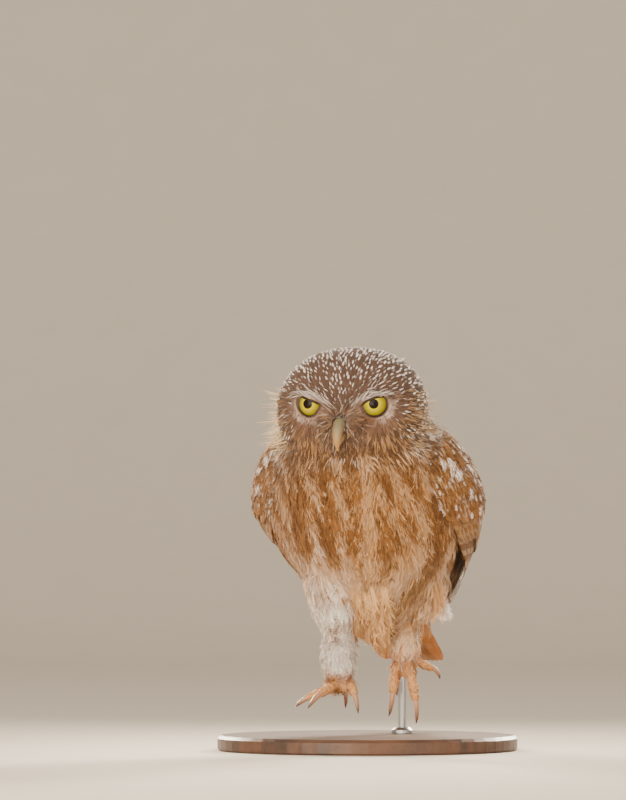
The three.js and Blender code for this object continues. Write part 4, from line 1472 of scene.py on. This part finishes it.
def disc_coat():
    """Hair-like feathers that ray out from the eyes and the bill."""
    coat = Coat("coat_face", "plumage", round_head)

    def spacing(p, region):
        face = np.isin(region, BODY) & (disc_share(p) >= 0.4)
        made = 0.66 - 0.14 * smooth(-eye_away(p), -12, -8)
        return np.where(face & (beyond_lids(p) > 1.15), made, 0.0)

    p, n, region = SKIN_SURFACE.roots(150000, spacing)
    away, angle = eye_polar(p)
    near_eye = smooth(-away, -11, -7.5)
    length = (6.4 - 4.6 * near_eye - 2.2 * bill_near(p)) * spread(p, 0.75, 1.25)
    direction = jitter(lie(p, n, region), n, 0.15)
    lift = (1.5 - 0.9 * near_eye) * spread(p, 0.6, 1.3)
    place = laid(SKIN_SURFACE, p, n, direction, length, lift * 0.55, lift, sink=0.2)
    tone = plumage_tone(place[1], place[3][1], region)
    rays = np.sin(np.radians(angle) * 30 + cloud(p, 8, 6) * 9)
    rays = smooth(rays + rng.normal(size=len(p)) * 0.6, -0.2, 0.8)
    outside = smooth(away, 10.5, 13)
    tone = blend(tone, PALE, rays * outside * 0.5)
    tone = blend(tone, DISC_BROWN * 0.5, (1 - rays) * outside * 0.7)
    tone = blend(tone, LASH_BROWN, near_eye * chosen(p, 0.16) * 0.7)
    brown = smooth(-away, -11.5, -8) * chosen(p, 0.3)
    tone = varied(blend(tone, DISC_BROWN, brown * 0.5), 0.14)
    half = (0.42 - 0.16 * near_eye) * spread(p, 0.8, 1.25)
    thick = chosen(p, 0.3)
    free = clear_of_eyes(*place[1:3])
    for template, mine, wide in ((HAIR, ~thick & free, 1.0), (LOCK, thick & free, 1.9)):
        coat.add(template, *kept(mine, place, half * wide, tone), wild=0.3)
    return coat


def rim_hairs(coat):
    """The fringe of stiff hairs at the edge of the disc, standing out from the side of the head."""
    def spacing(p, region):
        edge = (np.abs(p[:, 0]) > 29) & (p[:, 1] < -18) & (p[:, 1] > -44)
        edge &= (p[:, 2] > 157) & (p[:, 2] < 186) & (region == HEAD)
        return np.where(edge, np.where(p[:, 0] < 0, 1.05, 1.5), 0.0)

    p, n, region = SKIN_SURFACE.roots(60000, spacing)
    side = np.sign(p[:, 0])
    direction = along_surface(beside(0.4 * side, 0.8, -0.25), n)
    direction = jitter(direction, n, 0.3)
    right = side < 0
    length = np.where(right, 4.0, 3.0) + np.where(right, 7.5, 4.5) * rng.random(len(p)) ** 1.3
    rise = spread(p, 0.6, 1.4)
    tip = p + (direction + n * rise[:, None]) * (length * 0.8)[:, None]
    middle = p + direction * (length * 0.5)[:, None] + n * (length * rise * 0.3)[:, None]
    white = np.where(right, 0.4, 0.15) + rng.random(len(p)) * 0.6
    tone = varied(blend(DISC_BROWN, FRINGE_PALE, white), 0.1)
    place = (p - n * 0.2, middle, tip, [n, n, n])
    coat.add(HAIR, place, spread(p, 0.09, 0.17), tone, wild=0.2)


def bristles(coat):
    """Bristles of the lores that lie forward over the root and sides of the bill."""
    def spacing(p, region):
        near = (p[:, 1] < -46) & (np.abs(p[:, 0]) < 11) & (p[:, 2] > 159) & (p[:, 2] < 178)
        return np.where(near & np.isin(region, BODY), 0.85, 0.0)

    p, n, region = SKIN_SURFACE.roots(60000, spacing)
    side = np.where(p[:, 0] >= 0, 1.0, -1.0)
    outward = np.interp(np.abs(p[:, 0]), (0, 3, 7, 11), (0.1, 0.35, 0.6, 0.9))
    rise = np.interp(p[:, 2], (160, 168, 173, 178), (-1.0, -0.7, -0.1, 0.7))
    direction = unit(beside(side * outward, -0.45, rise))
    direction = jitter(along_surface(direction, n) * 0.85 + n * 0.3, n, 0.22)
    length = spread(p, 4.0, 8.0)
    place = straight(p, n, direction, length, low=length * 0.08, high=0, sink=0.2)
    brown = chosen(p, 0.74) * 0.9
    tone = varied(blend(DISC_GREY, DISC_BROWN * 0.7, brown), 0.12)
    free = clear_of_eyes(*place[1:3]) & (beyond_lids(place[2]) > 1.2)
    place, tone = kept(free, place, tone)
    coat.add(HAIR, place, spread(tone, 0.14, 0.26), tone, wild=0.2)


def bill_bristles(coat):
    """Short feathers that lie down over the top and the sides of the bill's root."""
    count = 420
    t = rng.uniform(0.0, 1.0, count)
    turn = rng.uniform(-1.9, 1.9, count)
    around = beside(np.sin(turn), 0, np.cos(turn))
    p = np.array([0, -51.5, 172.2]) + np.outer(t, (0, -4.0, -2.2)) + around * (3.9 - 0.3 * t)[:, None]
    n = unit(around + (0, -0.3, 0))
    run = beside(0.45 * np.sin(turn), -0.62, -0.75)
    direction = jitter(along_surface(run, n), n, 0.25)
    place = straight(p, n, direction, spread(p, 2.6, 4.8), low=0.5, high=0.35, sink=0.5)
    tone = blend(DISC_GREY, DISC_BROWN * 0.7, chosen(p, 0.6) * 0.9)
    coat.add(HAIR, place, spread(p, 0.22, 0.42), varied(tone, 0.12), wild=0.2)


# Leg feathers and the bristles of the toes
def leg_coat(name, side):
    start, end = seen(*LEGS[name]["thigh"][0]), seen(*LEGS[name]["shank"][1])
    coat = Coat("coat_leg_" + name, "pale_plumage", round_line(start, end))

    def spacing(p, region):
        ankle = (region == TOES) & (np.linalg.norm(p - end, axis=1) < 6.2) & (p[:, 2] > end[2] - 2.5)
        made = np.where(region == THIGH, 1.75, np.where((region == SHANK) | ankle, 1.0, 0.0))
        return np.where(on_leg(p, side), made, 0.0)

    p, n, region = SKIN_SURFACE.roots(50000, spacing)
    shank = region != THIGH
    size = spread(p, 0.7, 1.25)
    low = smooth(-p[:, 2], -80, -68)
    length = np.where(shank, 5.0, 9.5 - 2.5 * low) * size
    half = np.where(shank, 0.75, 1.9 - 0.9 * low) * size
    lift = np.where(shank, 1.4, 2.4 - 1.3 * low) * size
    direction = jitter(lie(p, n, region), n, 0.12)
    place = laid(SKIN_SURFACE, p, n, direction, length, lift * 0.6, lift)
    tone = plumage_tone(p, n, np.where(shank, SHANK, region))
    brown = smooth(cloud(p, 12, 9), 0.6, 0.74) * (p[:, 2] > 58)
    brown = np.maximum(brown, smooth(knee_patch(place[1]), 0.1, 0.5) * (side < 0))
    pattern = beside(0.5 * brown, 0, 0.8 * brown * (p[:, 2] < 76), 0)
    for template, mine in ((SMALL, shank), (SOFT, ~shank)):
        spot, wide, ground, marks = kept(mine, place, half, tone, pattern)
        mark = even(BREAST_BROWN, wide)
        coat.add(template, spot, wide, varied(ground, 0.07), mark, marks, wild=0.35)
    return coat


def leg_hairs(coat, side):
    """Fine loose hairs over thigh and shank, most of them white, with brown bars on the right leg."""
    def spacing(p, region):
        made = np.where(region == THIGH, 1.2, np.where(region == SHANK, 0.72, 0.0))
        return np.where(on_leg(p, side), made, 0.0)

    p, n, region = SKIN_SURFACE.roots(60000, spacing)
    shank = region == SHANK
    low = smooth(-p[:, 2], -80, -68)
    length = np.where(shank, 4.2, 6.5 - 1.5 * low) * spread(p, 0.6, 1.35)
    direction = jitter(lie(p, n, region), n, 0.42)
    high = np.where(shank, 2.1, 2.8 - 1.2 * low) * spread(p, 0.8, 1.6)
    place = laid(SKIN_SURFACE, p, n, direction, length, high * 0.75, high, sink=-0.7)
    bars = leg_bars(place[1]) * (side < 0)
    white = chosen(p, 0.5) * 0.7 * (1 - bars)
    tone = blend(plumage_tone(p, n, region), WHITE, white)
    wave = np.sin(p[:, 2] * 2.6 + cloud(p, 9, 31) * 7) > 0.45
    share = np.where(shank, 0.06 + 0.16 * wave, 0.2 - 0.15 * low) + 0.9 * bars
    dark = chosen(p, share)
    tone = varied(blend(tone, BREAST_BROWN * 0.8, dark * 0.75), 0.06)
    coat.add(LOCK, place, spread(p, 0.14, 0.34), tone, wild=0.6)


def toe_bristles(coat, name, side):
    def spacing(p, region):
        return np.where(on_leg(p, side) & (region == TOES), 0.95, 0.0)

    p, n, region = SKIN_SURFACE.roots(26000, spacing)
    p, n = kept(n[:, 2] > -0.35, p, n)
    direction = np.zeros_like(p)
    best = np.full(len(p), 1e9)
    share = np.zeros(len(p))
    for points in LEGS[name]["toes"].values():
        line = [seen(*at) for at in points[:3]]
        for k in range(2):
            run = line[k + 1] - line[k]
            t = np.clip(((p - line[k]) @ run) / run.dot(run), 0, 1)
            away = np.linalg.norm(p - line[k] - t[:, None] * run, axis=1)
            nearer = away < best
            best[nearer] = away[nearer]
            direction[nearer] = unit(run)
            share[nearer] = (k + t[nearer]) / 2
    length = spread(p, 2.0, 3.6) * (1.1 - 0.5 * share)
    run = jitter(along_surface(direction, n), n, 0.3)
    place = straight(p, n, run, length, length * 0.11, length * 0.28, sink=0.1)
    tone = varied(blend(LEG_TAN, TOE_SKIN, 0.3 + 0.7 * share), 0.1)
    for template, mine, wide in ((HAIR, share >= 0.3, 0.15), (LOCK, share < 0.3, 0.5)):
        spot, ground = kept(mine, place, tone)
        coat.add(template, spot, spread(ground, 0.8, 1.2) * wide, ground, wild=0.3)


# Belly fluff that hangs between the legs, and its lower edge in the picture's plane
FLUFF_EDGE_X = (-14, -7, 0, 5.5, 10.7, 20, 36, 41, 46, 54)
FLUFF_EDGE_Z = (70, 61, 57, 52, 45, 50, 60, 68, 78, 92)


def vent_coat():
    coat = Coat("coat_vent", "pale_plumage", round_line((0, -10, 120), (4, 60, 60)))

    def spacing(p, region):
        return np.where((region == TORSO) & (p[:, 2] < 94) & (p[:, 1] < 62), 2.0, 0.0)

    p, n, region = SKIN_SURFACE.roots(30000, spacing)
    x = picture_x(p)
    edge = np.interp(x, FLUFF_EDGE_X, FLUFF_EDGE_Z)
    low = chosen(p, smooth(-p[:, 2], -95, -86))
    behind_leg = (x > 9) & (x < 32) & (n[:, 1] < 0.1)
    p, n, edge = kept((n[:, 1] < 0.7) & low & (p[:, 2] > edge + 5) & ~behind_leg, p, n, edge)
    direction = jitter(unit(even((0.0, 0.5, -1.0), p)), n, 0.12)
    length = np.minimum(spread(p, 14, 22), (p[:, 2] - edge) * spread(p, 0.95, 1.28))
    tone = blend(BELLY_PALE, BREAST_BROWN, spread(p, 0, 0.55) ** 1.5)
    tone = varied(tone, 0.06)
    place = straight(p, n, direction, length, low=2.2, high=1.2, sink=0.3)
    coat.add(FLUFF, place, spread(p, 1.4, 2.4), tone, wild=0.6)
    white_tuft(coat)
    return coat


def white_tuft(coat):
    """The bright tuft at the lower corner of the flank, beside the tail."""
    count = 34
    root = seen(38, 44, 76) + rng.normal(size=(count, 3)) * (1.6, 1.6, 1.8)
    direction = unit(seen(0.35, 0.1, -1.0) + rng.normal(size=(count, 3)) * 0.22)
    facing = even(seen(0.3, -1, 0), root)
    place = straight(root, facing, direction, spread(root, 5, 9), low=0, high=0)
    tone = varied(even(WHITE, root), 0.04)
    coat.add(FLUFF, place, spread(root, 1.0, 1.8), tone, wild=0.5)


# Wings
def wing_point(side, along, across):
    rows = np.stack([through(row[:, None, :], across) for row in WING_ROWS])
    return through(rows, along) * (side, 1, 1)


def wing_normal(side, along, across):
    step = 0.02
    a = wing_point(side, along + step, across) - wing_point(side, along - step, across)
    b = wing_point(side, along, across + step) - wing_point(side, along, across - step)
    return unit(np.cross(a, b)) * side


def wing_shell(side):
    """Flesh of the folded wing under its feathers, a closed cushion inside the outer surface."""
    rows, columns = 40, 20
    rings = []
    for i in range(rows + 1):
        along = np.full(columns + 1, WING_SHELL_END * i / rows)
        across = 0.03 + 0.94 * np.arange(columns + 1) / columns
        at = wing_point(side, along, across)
        out = wing_normal(side, along, across)
        swell = np.sqrt(np.sin(np.pi * across)) * (1 - (i / rows) ** 3)
        outside = at - out * 1.6
        inside = at - out * (2.4 + 8.6 * swell)[:, None]
        rings.append(np.concatenate([outside, inside[::-1]]))
    return loft(np.array(rings))


VANE_THICK = 0.16


def vane_profile(levels, start, growth, blunt):
    """Width of a vane along its length, as a share of its full width."""
    return np.clip(start + levels * growth, 0, 1) * np.sqrt(np.clip(1 - levels ** blunt, 0.004, 1))


def vane_rings(centre, run, out, half, profile, camber, tilt, outer):
    """Rings of one closed vane: a flat, slightly arched section that narrows to a rounded tip."""
    aside = unit(np.cross(run, out))
    u = np.array((-1, -0.55, 0, 0.55, 1, 0.55, 0, -0.55))
    lift = np.array((0, 1, 1.4, 1, 0, -1, -1, -1)) * VANE_THICK
    width = np.where(u > 0, outer, 1.0) * u
    rings = (
        centre[:, None, :]
        + aside[:, None, :] * (width * half * profile[:, None])[..., None]
        + out[:, None, :] * (lift + (tilt * u - camber * half * u * u) * profile[:, None])[..., None]
    )
    return rings, u


VANE_ROWS = 18
# Primaries, secondaries, primary, greater and median coverts: count, where the first and last roots
# and tips are (along, across), half width, lift, bulge and marks
WING_TIERS = (
    (9, ((0.46, 0.06), (0.5, 0.5)), ((0.93, 0.06), (0.9, 0.82)), 4.0, 0.2, 0.09, (0, 0, 0.8, 0)),
    (10, ((0.36, 0.26), (0.34, 0.93)), ((0.74, 0.3), (0.8, 0.92)), 4.8, 0.7, 0.02, (0, 0, 0.75, 0)),
    (6, ((0.3, 0.07), (0.32, 0.3)), ((0.57, 0.06), (0.6, 0.26)), 3.4, 0.8, 0, (0, 0.5, 0.3, 0)),
    (9, ((0.22, 0.14), (0.2, 0.9)), ((0.46, 0.14), (0.5, 0.9)), 4.9, 1.1, 0.02, (0, 0.55, 0.15, 0.1)),
    (10, ((0.1, 0.12), (0.08, 0.88)), ((0.32, 0.1), (0.33, 0.9)), 4.6, 1.5, 0.02, (0, 0.4, 0.1, 0.1)),
)
WING_BROWN = srgb(144, 95, 44)
WING_MARK = srgb(206, 170, 130)


def wing_unwrap(p):
    """The wing seen from its side: how far back and how far down a root is."""
    back = np.clip((p[:, 1] + 45) / 130, 0, 1)
    down = np.clip((p[:, 2] - 60) / 125, 0, 1)
    return beside(back, down) * 0.98 + 0.01


def wing_flesh(name, side):
    points, quads, caps = wing_shell(side)
    tone = even(np.append(WING_BROWN * 0.8, 0), points)
    shell = build("wing_flesh_" + name, points, [quads, caps], SKIN, colours={"tone": tone})
    piece(shell, ["wing_" + name])


def wing_feathers(name, side):
    vanes = Coat("wing_vanes_" + name, "flight_feathers", wing_unwrap, FLIGHT)
    levels = np.linspace(0, 1, VANE_ROWS)
    profile = vane_profile(levels, start=0.35, growth=2.2, blunt=7)
    for count, roots, tips, half, lift, bulge, pattern in WING_TIERS:
        for i in range(count):
            t = i / (count - 1)
            root, tip = [np.array(ends[0]) * (1 - t) + np.array(ends[1]) * t for ends in (roots, tips)]
            tip[0] += bulge * math.sin(math.pi * t) + rng.normal() * 0.006
            tip[1] += rng.normal() * 0.012
            along, across = (root + (tip - root) * levels[:, None]).T
            centre = wing_point(side, along, across)
            out = wing_normal(side, along, across)
            run = unit(np.gradient(centre, axis=0))
            centre = centre + out * (-1.2 + (1.2 + lift) * levels ** 0.8)[:, None]
            wide = half * rng.uniform(0.94, 1.06)
            rings, u = vane_rings(
                centre, run, out, wide, profile, camber=0.12, tilt=0.55 * side, outer=0.85)
            behind = smooth(out[VANE_ROWS // 2][1], -0.2, 0.8)
            tone = (WING_BROWN + (BACK_BROWN - WING_BROWN) * behind) * rng.uniform(0.82, 1.12)
            mark = WING_MARK * rng.uniform(0.9, 1.05)
            strength = np.array(pattern, float) * rng.uniform(0.75, 1.0)
            at = wing_point(side, root[:1], root[1:])[0]
            vanes.add_vane(rings, u, levels, at, tone, mark, strength)
    vanes.write_piece(vanes.name, vanes.batches)


def wing_surface(side):
    rows, columns = 60, 30
    grid = np.meshgrid(np.linspace(0, 0.98, rows), np.linspace(0.0, 1.0, columns), indexing="ij")
    along, across = [values.ravel() for values in grid]
    r, c = np.meshgrid(np.arange(rows - 1), np.arange(columns - 1), indexing="ij")
    a = (r * columns + c).ravel()
    quads = beside(a, a + 1, a + columns + 1, a + columns)
    points = wing_point(side, along, across)
    return Surface(points, triangles(quads), wing_normal(side, along, across), np.zeros(len(points), int))


def wing_coat(name, surface):
    """Lesser coverts and shoulder feathers, and looser ones along the leading edge."""
    coat = Coat("coat_wing_" + name, "plumage", wing_unwrap)

    def spacing(p, region):
        top = np.interp(p[:, 1], (-31, -5, 25, 40), (122, 133, 146, 150))
        return np.where(p[:, 2] > top, 2.3, 0.0)

    p, n, _ = surface.roots(30000, spacing)
    lead = smooth(-p[:, 1], 6, 18)
    down = beside(0, 0.55 - 0.1 * lead, -1)
    length = (11.5 - 3 * lead) * spread(p, 0.85, 1.15)
    half = (3.4 - 1.2 * lead) * spread(p, 0.85, 1.15)
    direction = jitter(along_surface(down, n), n, 0.12)
    lift = spread(p, 1.4, 2.2)
    place = laid(surface, p, n, direction, length, lift * 0.7, lift, sink=1.8)
    tone = varied(blend(WING_BROWN, BACK_BROWN, smooth(n[:, 1], -0.45, 0.55)), 0.1)
    spotted = chosen(p, 0.26 - 0.16 * lead) * spread(p, 0.5, 0.95)
    pattern = beside(0, spotted, 0, 0.5 * lead * (cloud(p, 9, 14) > 0.55))
    coat.add(NEAT, place, half, tone, varied(even(WHITE, p), 0.06), pattern, wild=0.3)
    wing_strands(coat, surface, spacing)
    return coat


def wing_strands(coat, surface, feathered):
    """Loose hairs and edges of feathers, pale and dark, over the front of the shoulder."""
    def spacing(p, region):
        return np.where((feathered(p, region) > 0) & (p[:, 1] < 12), 1.25, 0.0)

    p, n, _ = surface.roots(30000, spacing)
    direction = jitter(along_surface(even((0, 0.45, -1.0), p), n), n, 0.2)
    low = spread(p, 1.5, 2.4)
    high = spread(p, 2.0, 3.0)
    place = laid(surface, p, n, direction, spread(p, 5, 9), low, high, sink=-0.8)
    pale = chosen(p, 0.5)
    tone = np.where(pale[:, None], PALE, WING_BROWN * 0.5)
    tone = varied(blend(WING_BROWN, tone, spread(p, 0.2, 0.85)), 0.1)
    coat.add(HAIR, place, spread(p, 0.12, 0.32), tone, wild=0.4)


# Where white clusters are seen in the picture, how many feathers each has and how far apart
SHOULDER_SPOTS = {
    1: ((38.5, 152, 3, 2.0), (42, 149.5, 4, 2.2), (44, 146, 4, 2.2), (49.5, 149, 2, 0.8),
        (46, 157, 2, 0.9), (52, 138, 2, 1.0)),
    -1: ((-53.5, 147.5, 3, 1.6), (-50, 153, 3, 1.6), (-55.5, 139, 2, 1.2), (-47, 158, 2, 1.3)),
}


def shoulder_spots(coat, side, surface):
    """Clusters of white feathers with brown between them at the front of the shoulders."""
    for x, z, count, apart in SHOULDER_SPOTS[side]:
        at, n = in_picture(surface, x, z)
        n = np.tile(n, (count, 1))
        p = at + along_surface(rng.normal(size=(count, 3)), n) * spread(n, 0.2, apart)[:, None]
        direction = jitter(along_surface(even((0.0, 0.3, -1.0), p), n), n, 0.3)
        place = straight(p, n, direction, spread(p, 4.5, 7.5), low=2.5, high=2.2, sink=-1.2)
        tone = varied(even(WHITE, p), 0.05)
        streak = even((0.7, 0, 0, 0), p)
        mark = even(WING_BROWN, p)
        coat.add(SOFT, place, spread(p, 1.0, 1.6), tone, mark, streak, wild=0.4)


# Tail
TAIL_ROWS = 24
TAIL_PAIRS = 6
TAIL_VANE_HALF = 5.4
TAIL_TAWNY = srgb(196, 124, 52)
TAIL_MARK = srgb(214, 170, 116)


def tail_frame():
    run = TAIL_TIP - TAIL_ROOT
    length = np.linalg.norm(run)
    run = run / length
    out = unit(np.cross((1.0, 0, 0), run))
    return run, length, out if out[2] > 0 else -out


def tail_pieces():
    run, length, out = tail_frame()
    joints = [
        (TAIL_ROOT + run * away, wide, deep)
        for away, wide, deep in ((-8, 12.4, 8.4), (4, 11.4, 6.4), (16, 9, 4), (25, 5.4, 1.2))]
    points, quads, caps = closed_limb(joints, sides=28, rings=20)
    tone = even(np.append(BACK_BROWN, 0), points)
    base = build("tail_root", points, [quads, caps], SKIN, colours={"tone": tone})
    piece(base, ["tail"])
    unwrap = round_line(TAIL_ROOT - run * 10, TAIL_TIP)
    vanes = Coat("tail_vanes", "flight_feathers", unwrap, FLIGHT)
    levels = np.linspace(0, 1, TAIL_ROWS)
    profile = vane_profile(levels, start=0.45, growth=1.6, blunt=9)
    for i in range(TAIL_PAIRS):
        for _, side in SIDES:
            end = length - 0.15 * i * i
            level = 1.8 - 0.75 * i - (0.37 if side > 0 else 0)
            centre = TAIL_ROOT + run * (2 + (end - 2) * levels)[:, None] + out * level
            centre = centre + out * (-1.2 + 2 * levels ** 0.8)[:, None]
            centre[:, 0] += side * (1.2 + 1.5 * i + (0.4 + 1.2 * i) * levels)
            along = unit(np.gradient(centre, axis=0))
            rings, u = vane_rings(
                centre, along, even(out, levels), TAIL_VANE_HALF, profile,
                camber=0.14, tilt=0.3 * side, outer=0.62)
            tone = BACK_BROWN + (TAIL_TAWNY - BACK_BROWN) * smooth(i, 0.5, 3)
            tone = tone * rng.uniform(0.9, 1.06)
            bars = np.array((0, 0, 0.75 - 0.09 * i, 0))
            vanes.add_vane(rings, u, levels, centre[3], tone, TAIL_MARK, bars)
    vanes.write_piece(vanes.name, vanes.batches)
    tail_coverts(run, out, unwrap)


def tail_coverts(run, out, unwrap):
    coat = Coat("coat_tail", "plumage", unwrap)
    kinds = ((1, 150, 24, NEAT, BACK_BROWN, 0.3), (-1, 210, 27, FLUFF, BELLY_PALE, 0))
    for way, count, reach, template, colour, spotted in kinds:
        far = rng.uniform(-6, reach, count)
        x = rng.uniform(-1, 1, count) * np.interp(far, (-6, 24), (12, 7))
        height = np.interp(far, (-6, 4, 16, 25), (7.6, 5.6, 3.2, 0.8))
        height = height * np.sqrt(np.clip(1 - (x / 14) ** 2, 0, 1))
        p = TAIL_ROOT + run * far[:, None] + out * (way * height)[:, None]
        p[:, 0] += x
        n = even(out * way, p)
        n[:, 0] += x * 0.05
        n = unit(n)
        length = spread(p, 13, 19)
        direction = jitter(even(run, p), n, 0.12)
        place = straight(p, n, direction, length, low=2.0, high=2.4 - height * 0.35, sink=1.0)
        tone = varied(even(colour, p), 0.08)
        pattern = np.zeros((count, 4))
        if spotted:
            pattern[:, 1] = chosen(p, spotted) * 0.8
        coat.add(template, place, spread(p, 3, 4.4), tone, even(WHITE, p), pattern, wild=0.4)
    coat.write()


# Eyes, lids, bill and claws
def make_eyes():
    for name, side in SIDES:
        out, up, ahead = eye_axes(side)
        polar = np.concatenate([np.linspace(0.012, 1.0, 44), np.linspace(1.05, math.pi - 0.04, 26)])
        angle = np.linspace(0, 2 * math.pi, 72, endpoint=False)
        bulge = 0.55 * np.exp(-(polar / 0.62) ** 4)
        radius = EYE_RADIUS + bulge
        round_eye = np.outer(np.cos(angle), out) + np.outer(np.sin(angle), up)
        rings = np.stack([
            eye_centre(side) + r * (math.cos(a) * ahead + math.sin(a) * round_eye)
            for r, a in zip(radius, polar)])
        points, quads, caps = loft(rings)
        away = np.repeat(EYE_RADIUS * np.sin(np.minimum(polar, math.pi / 2)), len(angle))
        turn = np.tile(np.abs(angle / math.pi - 1), len(polar))
        uv = beside(turn, away)
        uv = np.concatenate([uv, [[0, 0], [0, EYE_RADIUS]]])
        eye = build("eyeball_" + name, points, [quads, caps], EYE, uvs={"eye": uv})
        piece(eye, ["eye_" + name])


def make_lids():
    section = (
        (0.0, -0.5), (-0.12, 0.3), (0.05, 0.7), (0.45, 0.85),
        (0.95, 0.72), (1.3, 0.2), (1.3, -0.6), (0.6, -0.8),
    )
    for name, side in SIDES:
        out, up, ahead = eye_axes(side)
        line = lid_outline(side)
        away = outward_2d(line)
        rings = []
        for offset, rise in section:
            flat = line + away * offset
            forward = np.sqrt(np.maximum((EYE_RADIUS + rise) ** 2 - (flat ** 2).sum(-1), 1))
            rings.append(eye_centre(side) + np.outer(flat[:, 0], out) + np.outer(flat[:, 1], up)
                         + np.outer(forward, ahead))
        rings = np.array(rings)
        count, around = rings.shape[:2]
        r, k = np.meshgrid(np.arange(count), np.arange(around), indexing="ij")

        def index(i, j):
            return ((i % count) * around + j % around).ravel()

        quads = beside(index(r, k), index(r, k + 1), index(r + 1, k + 1), index(r + 1, k))
        piece(build("lids_" + name, rings.reshape(-1, 3), [quads], LID))


def make_bill():
    def upper_relief(t, angle):
        nostril = bell((t - 0.4) / 0.03)
        sides = bell((np.cos(angle) ** 2 - 0.75) / 0.2) * (np.sin(angle) > 0)
        return 1 - 0.14 * nostril * sides

    points, quads, caps = closed_limb(UPPER_BILL, sides=36, rings=60, relief=upper_relief)
    piece(build("bill_top", points, [quads, caps], BILL), ["bill_upper"])
    points, quads, caps = closed_limb(LOWER_BILL, sides=28, rings=36)
    piece(build("bill_bottom", points, [quads, caps], BILL), ["bill_lower"])


def make_claws():
    sides, rings = 18, 26
    for name, _ in SIDES:
        for toe, points in LEGS[name]["toes"].items():
            _, knuckle, end, tip = [seen(*p) for p in points]
            run = unit(end - knuckle)
            reach = np.linalg.norm(tip - end)
            joints = [
                (end - run * 0.12 * reach, 1.35, 1.6),
                (end + run * 0.2 * reach, 1.3, 1.6),
                (end + (tip - end) * 0.55 + run * 0.2 * reach, 0.85, 1.0),
                (tip, 0.14, 0.14),
            ]
            p, quads, caps = closed_limb(joints, sides, rings)
            level = np.repeat(np.linspace(0, 1, rings + 1), sides)
            uv = beside(0, level)
            uv = np.concatenate([uv, [[0, 0], [0, 1]]])
            claw = build("talon_%s_%s" % (name, toe), p, [quads, caps], CLAW, uvs={"eye": uv})
            piece(claw, ["claw_%s_%s" % (name, toe)])


make_eyes()
make_lids()
make_bill()
make_claws()

body = body_coat()
wisps(body)
body.write()
head = head_coat()
crown_spots(head)
brows(head)
stray_feathers(head)
head.write()
face = disc_coat()
rim_hairs(face)
bristles(face)
bill_bristles(face)
face.write()
for name, side in SIDES:
    leg = leg_coat(name, side)
    leg_hairs(leg, side)
    toe_bristles(leg, name, side)
    leg.write()
vent_coat().write()
for name, side in SIDES:
    wing_flesh(name, side)
    wing_feathers(name, side)
    wing_top = wing_surface(side)
    wing = wing_coat(name, wing_top)
    shoulder_spots(wing, side, wing_top)
    wing.write()
tail_pieces()


# Stand and studio
def dress_stand():
    wood = wood_material()
    metal = metal_material()
    for node, material in (("stand_base", wood), ("stand_rod", metal), ("stand_collar", metal)):
        obj = frame["nodes"][node]
        obj.data.materials.clear()
        obj.data.materials.append(material)


def add_studio():
    floor_near, floor_far, top, bend = -8.0, 1.6, 4.0, 1.2
    turn = np.linspace(0, math.pi / 2, 24)
    profile = np.concatenate([
        [[floor_near, 0]],
        beside(floor_far + bend * np.sin(turn), bend * (1 - np.cos(turn))),
        [[floor_far + bend, top]],
    ])
    width = 8.0
    left = beside(-width, *profile.T)
    right = left * (-1, 1, 1)
    mesh = bpy.data.meshes.new("studio")
    count = len(profile)
    quads = [(i, count + i, count + i + 1, i + 1) for i in range(count - 1)]
    mesh.from_pydata(np.concatenate([left, right]).tolist(), [], quads)
    mesh.polygons.foreach_set("use_smooth", np.ones(len(quads), bool))
    mesh.materials.append(studio_material())
    linked("studio", mesh)


dress_stand()
add_studio()
for light in LIGHTS:
    add_light(*light)
world_light = bpy.data.worlds.new("studio_light")
world_light.use_nodes = True
world_light.node_tree.nodes["Background"].inputs[0].default_value = (1.0, 0.92, 0.82, 1)
world_light.node_tree.nodes["Background"].inputs[1].default_value = 0.7
bpy.context.scene.world = world_light
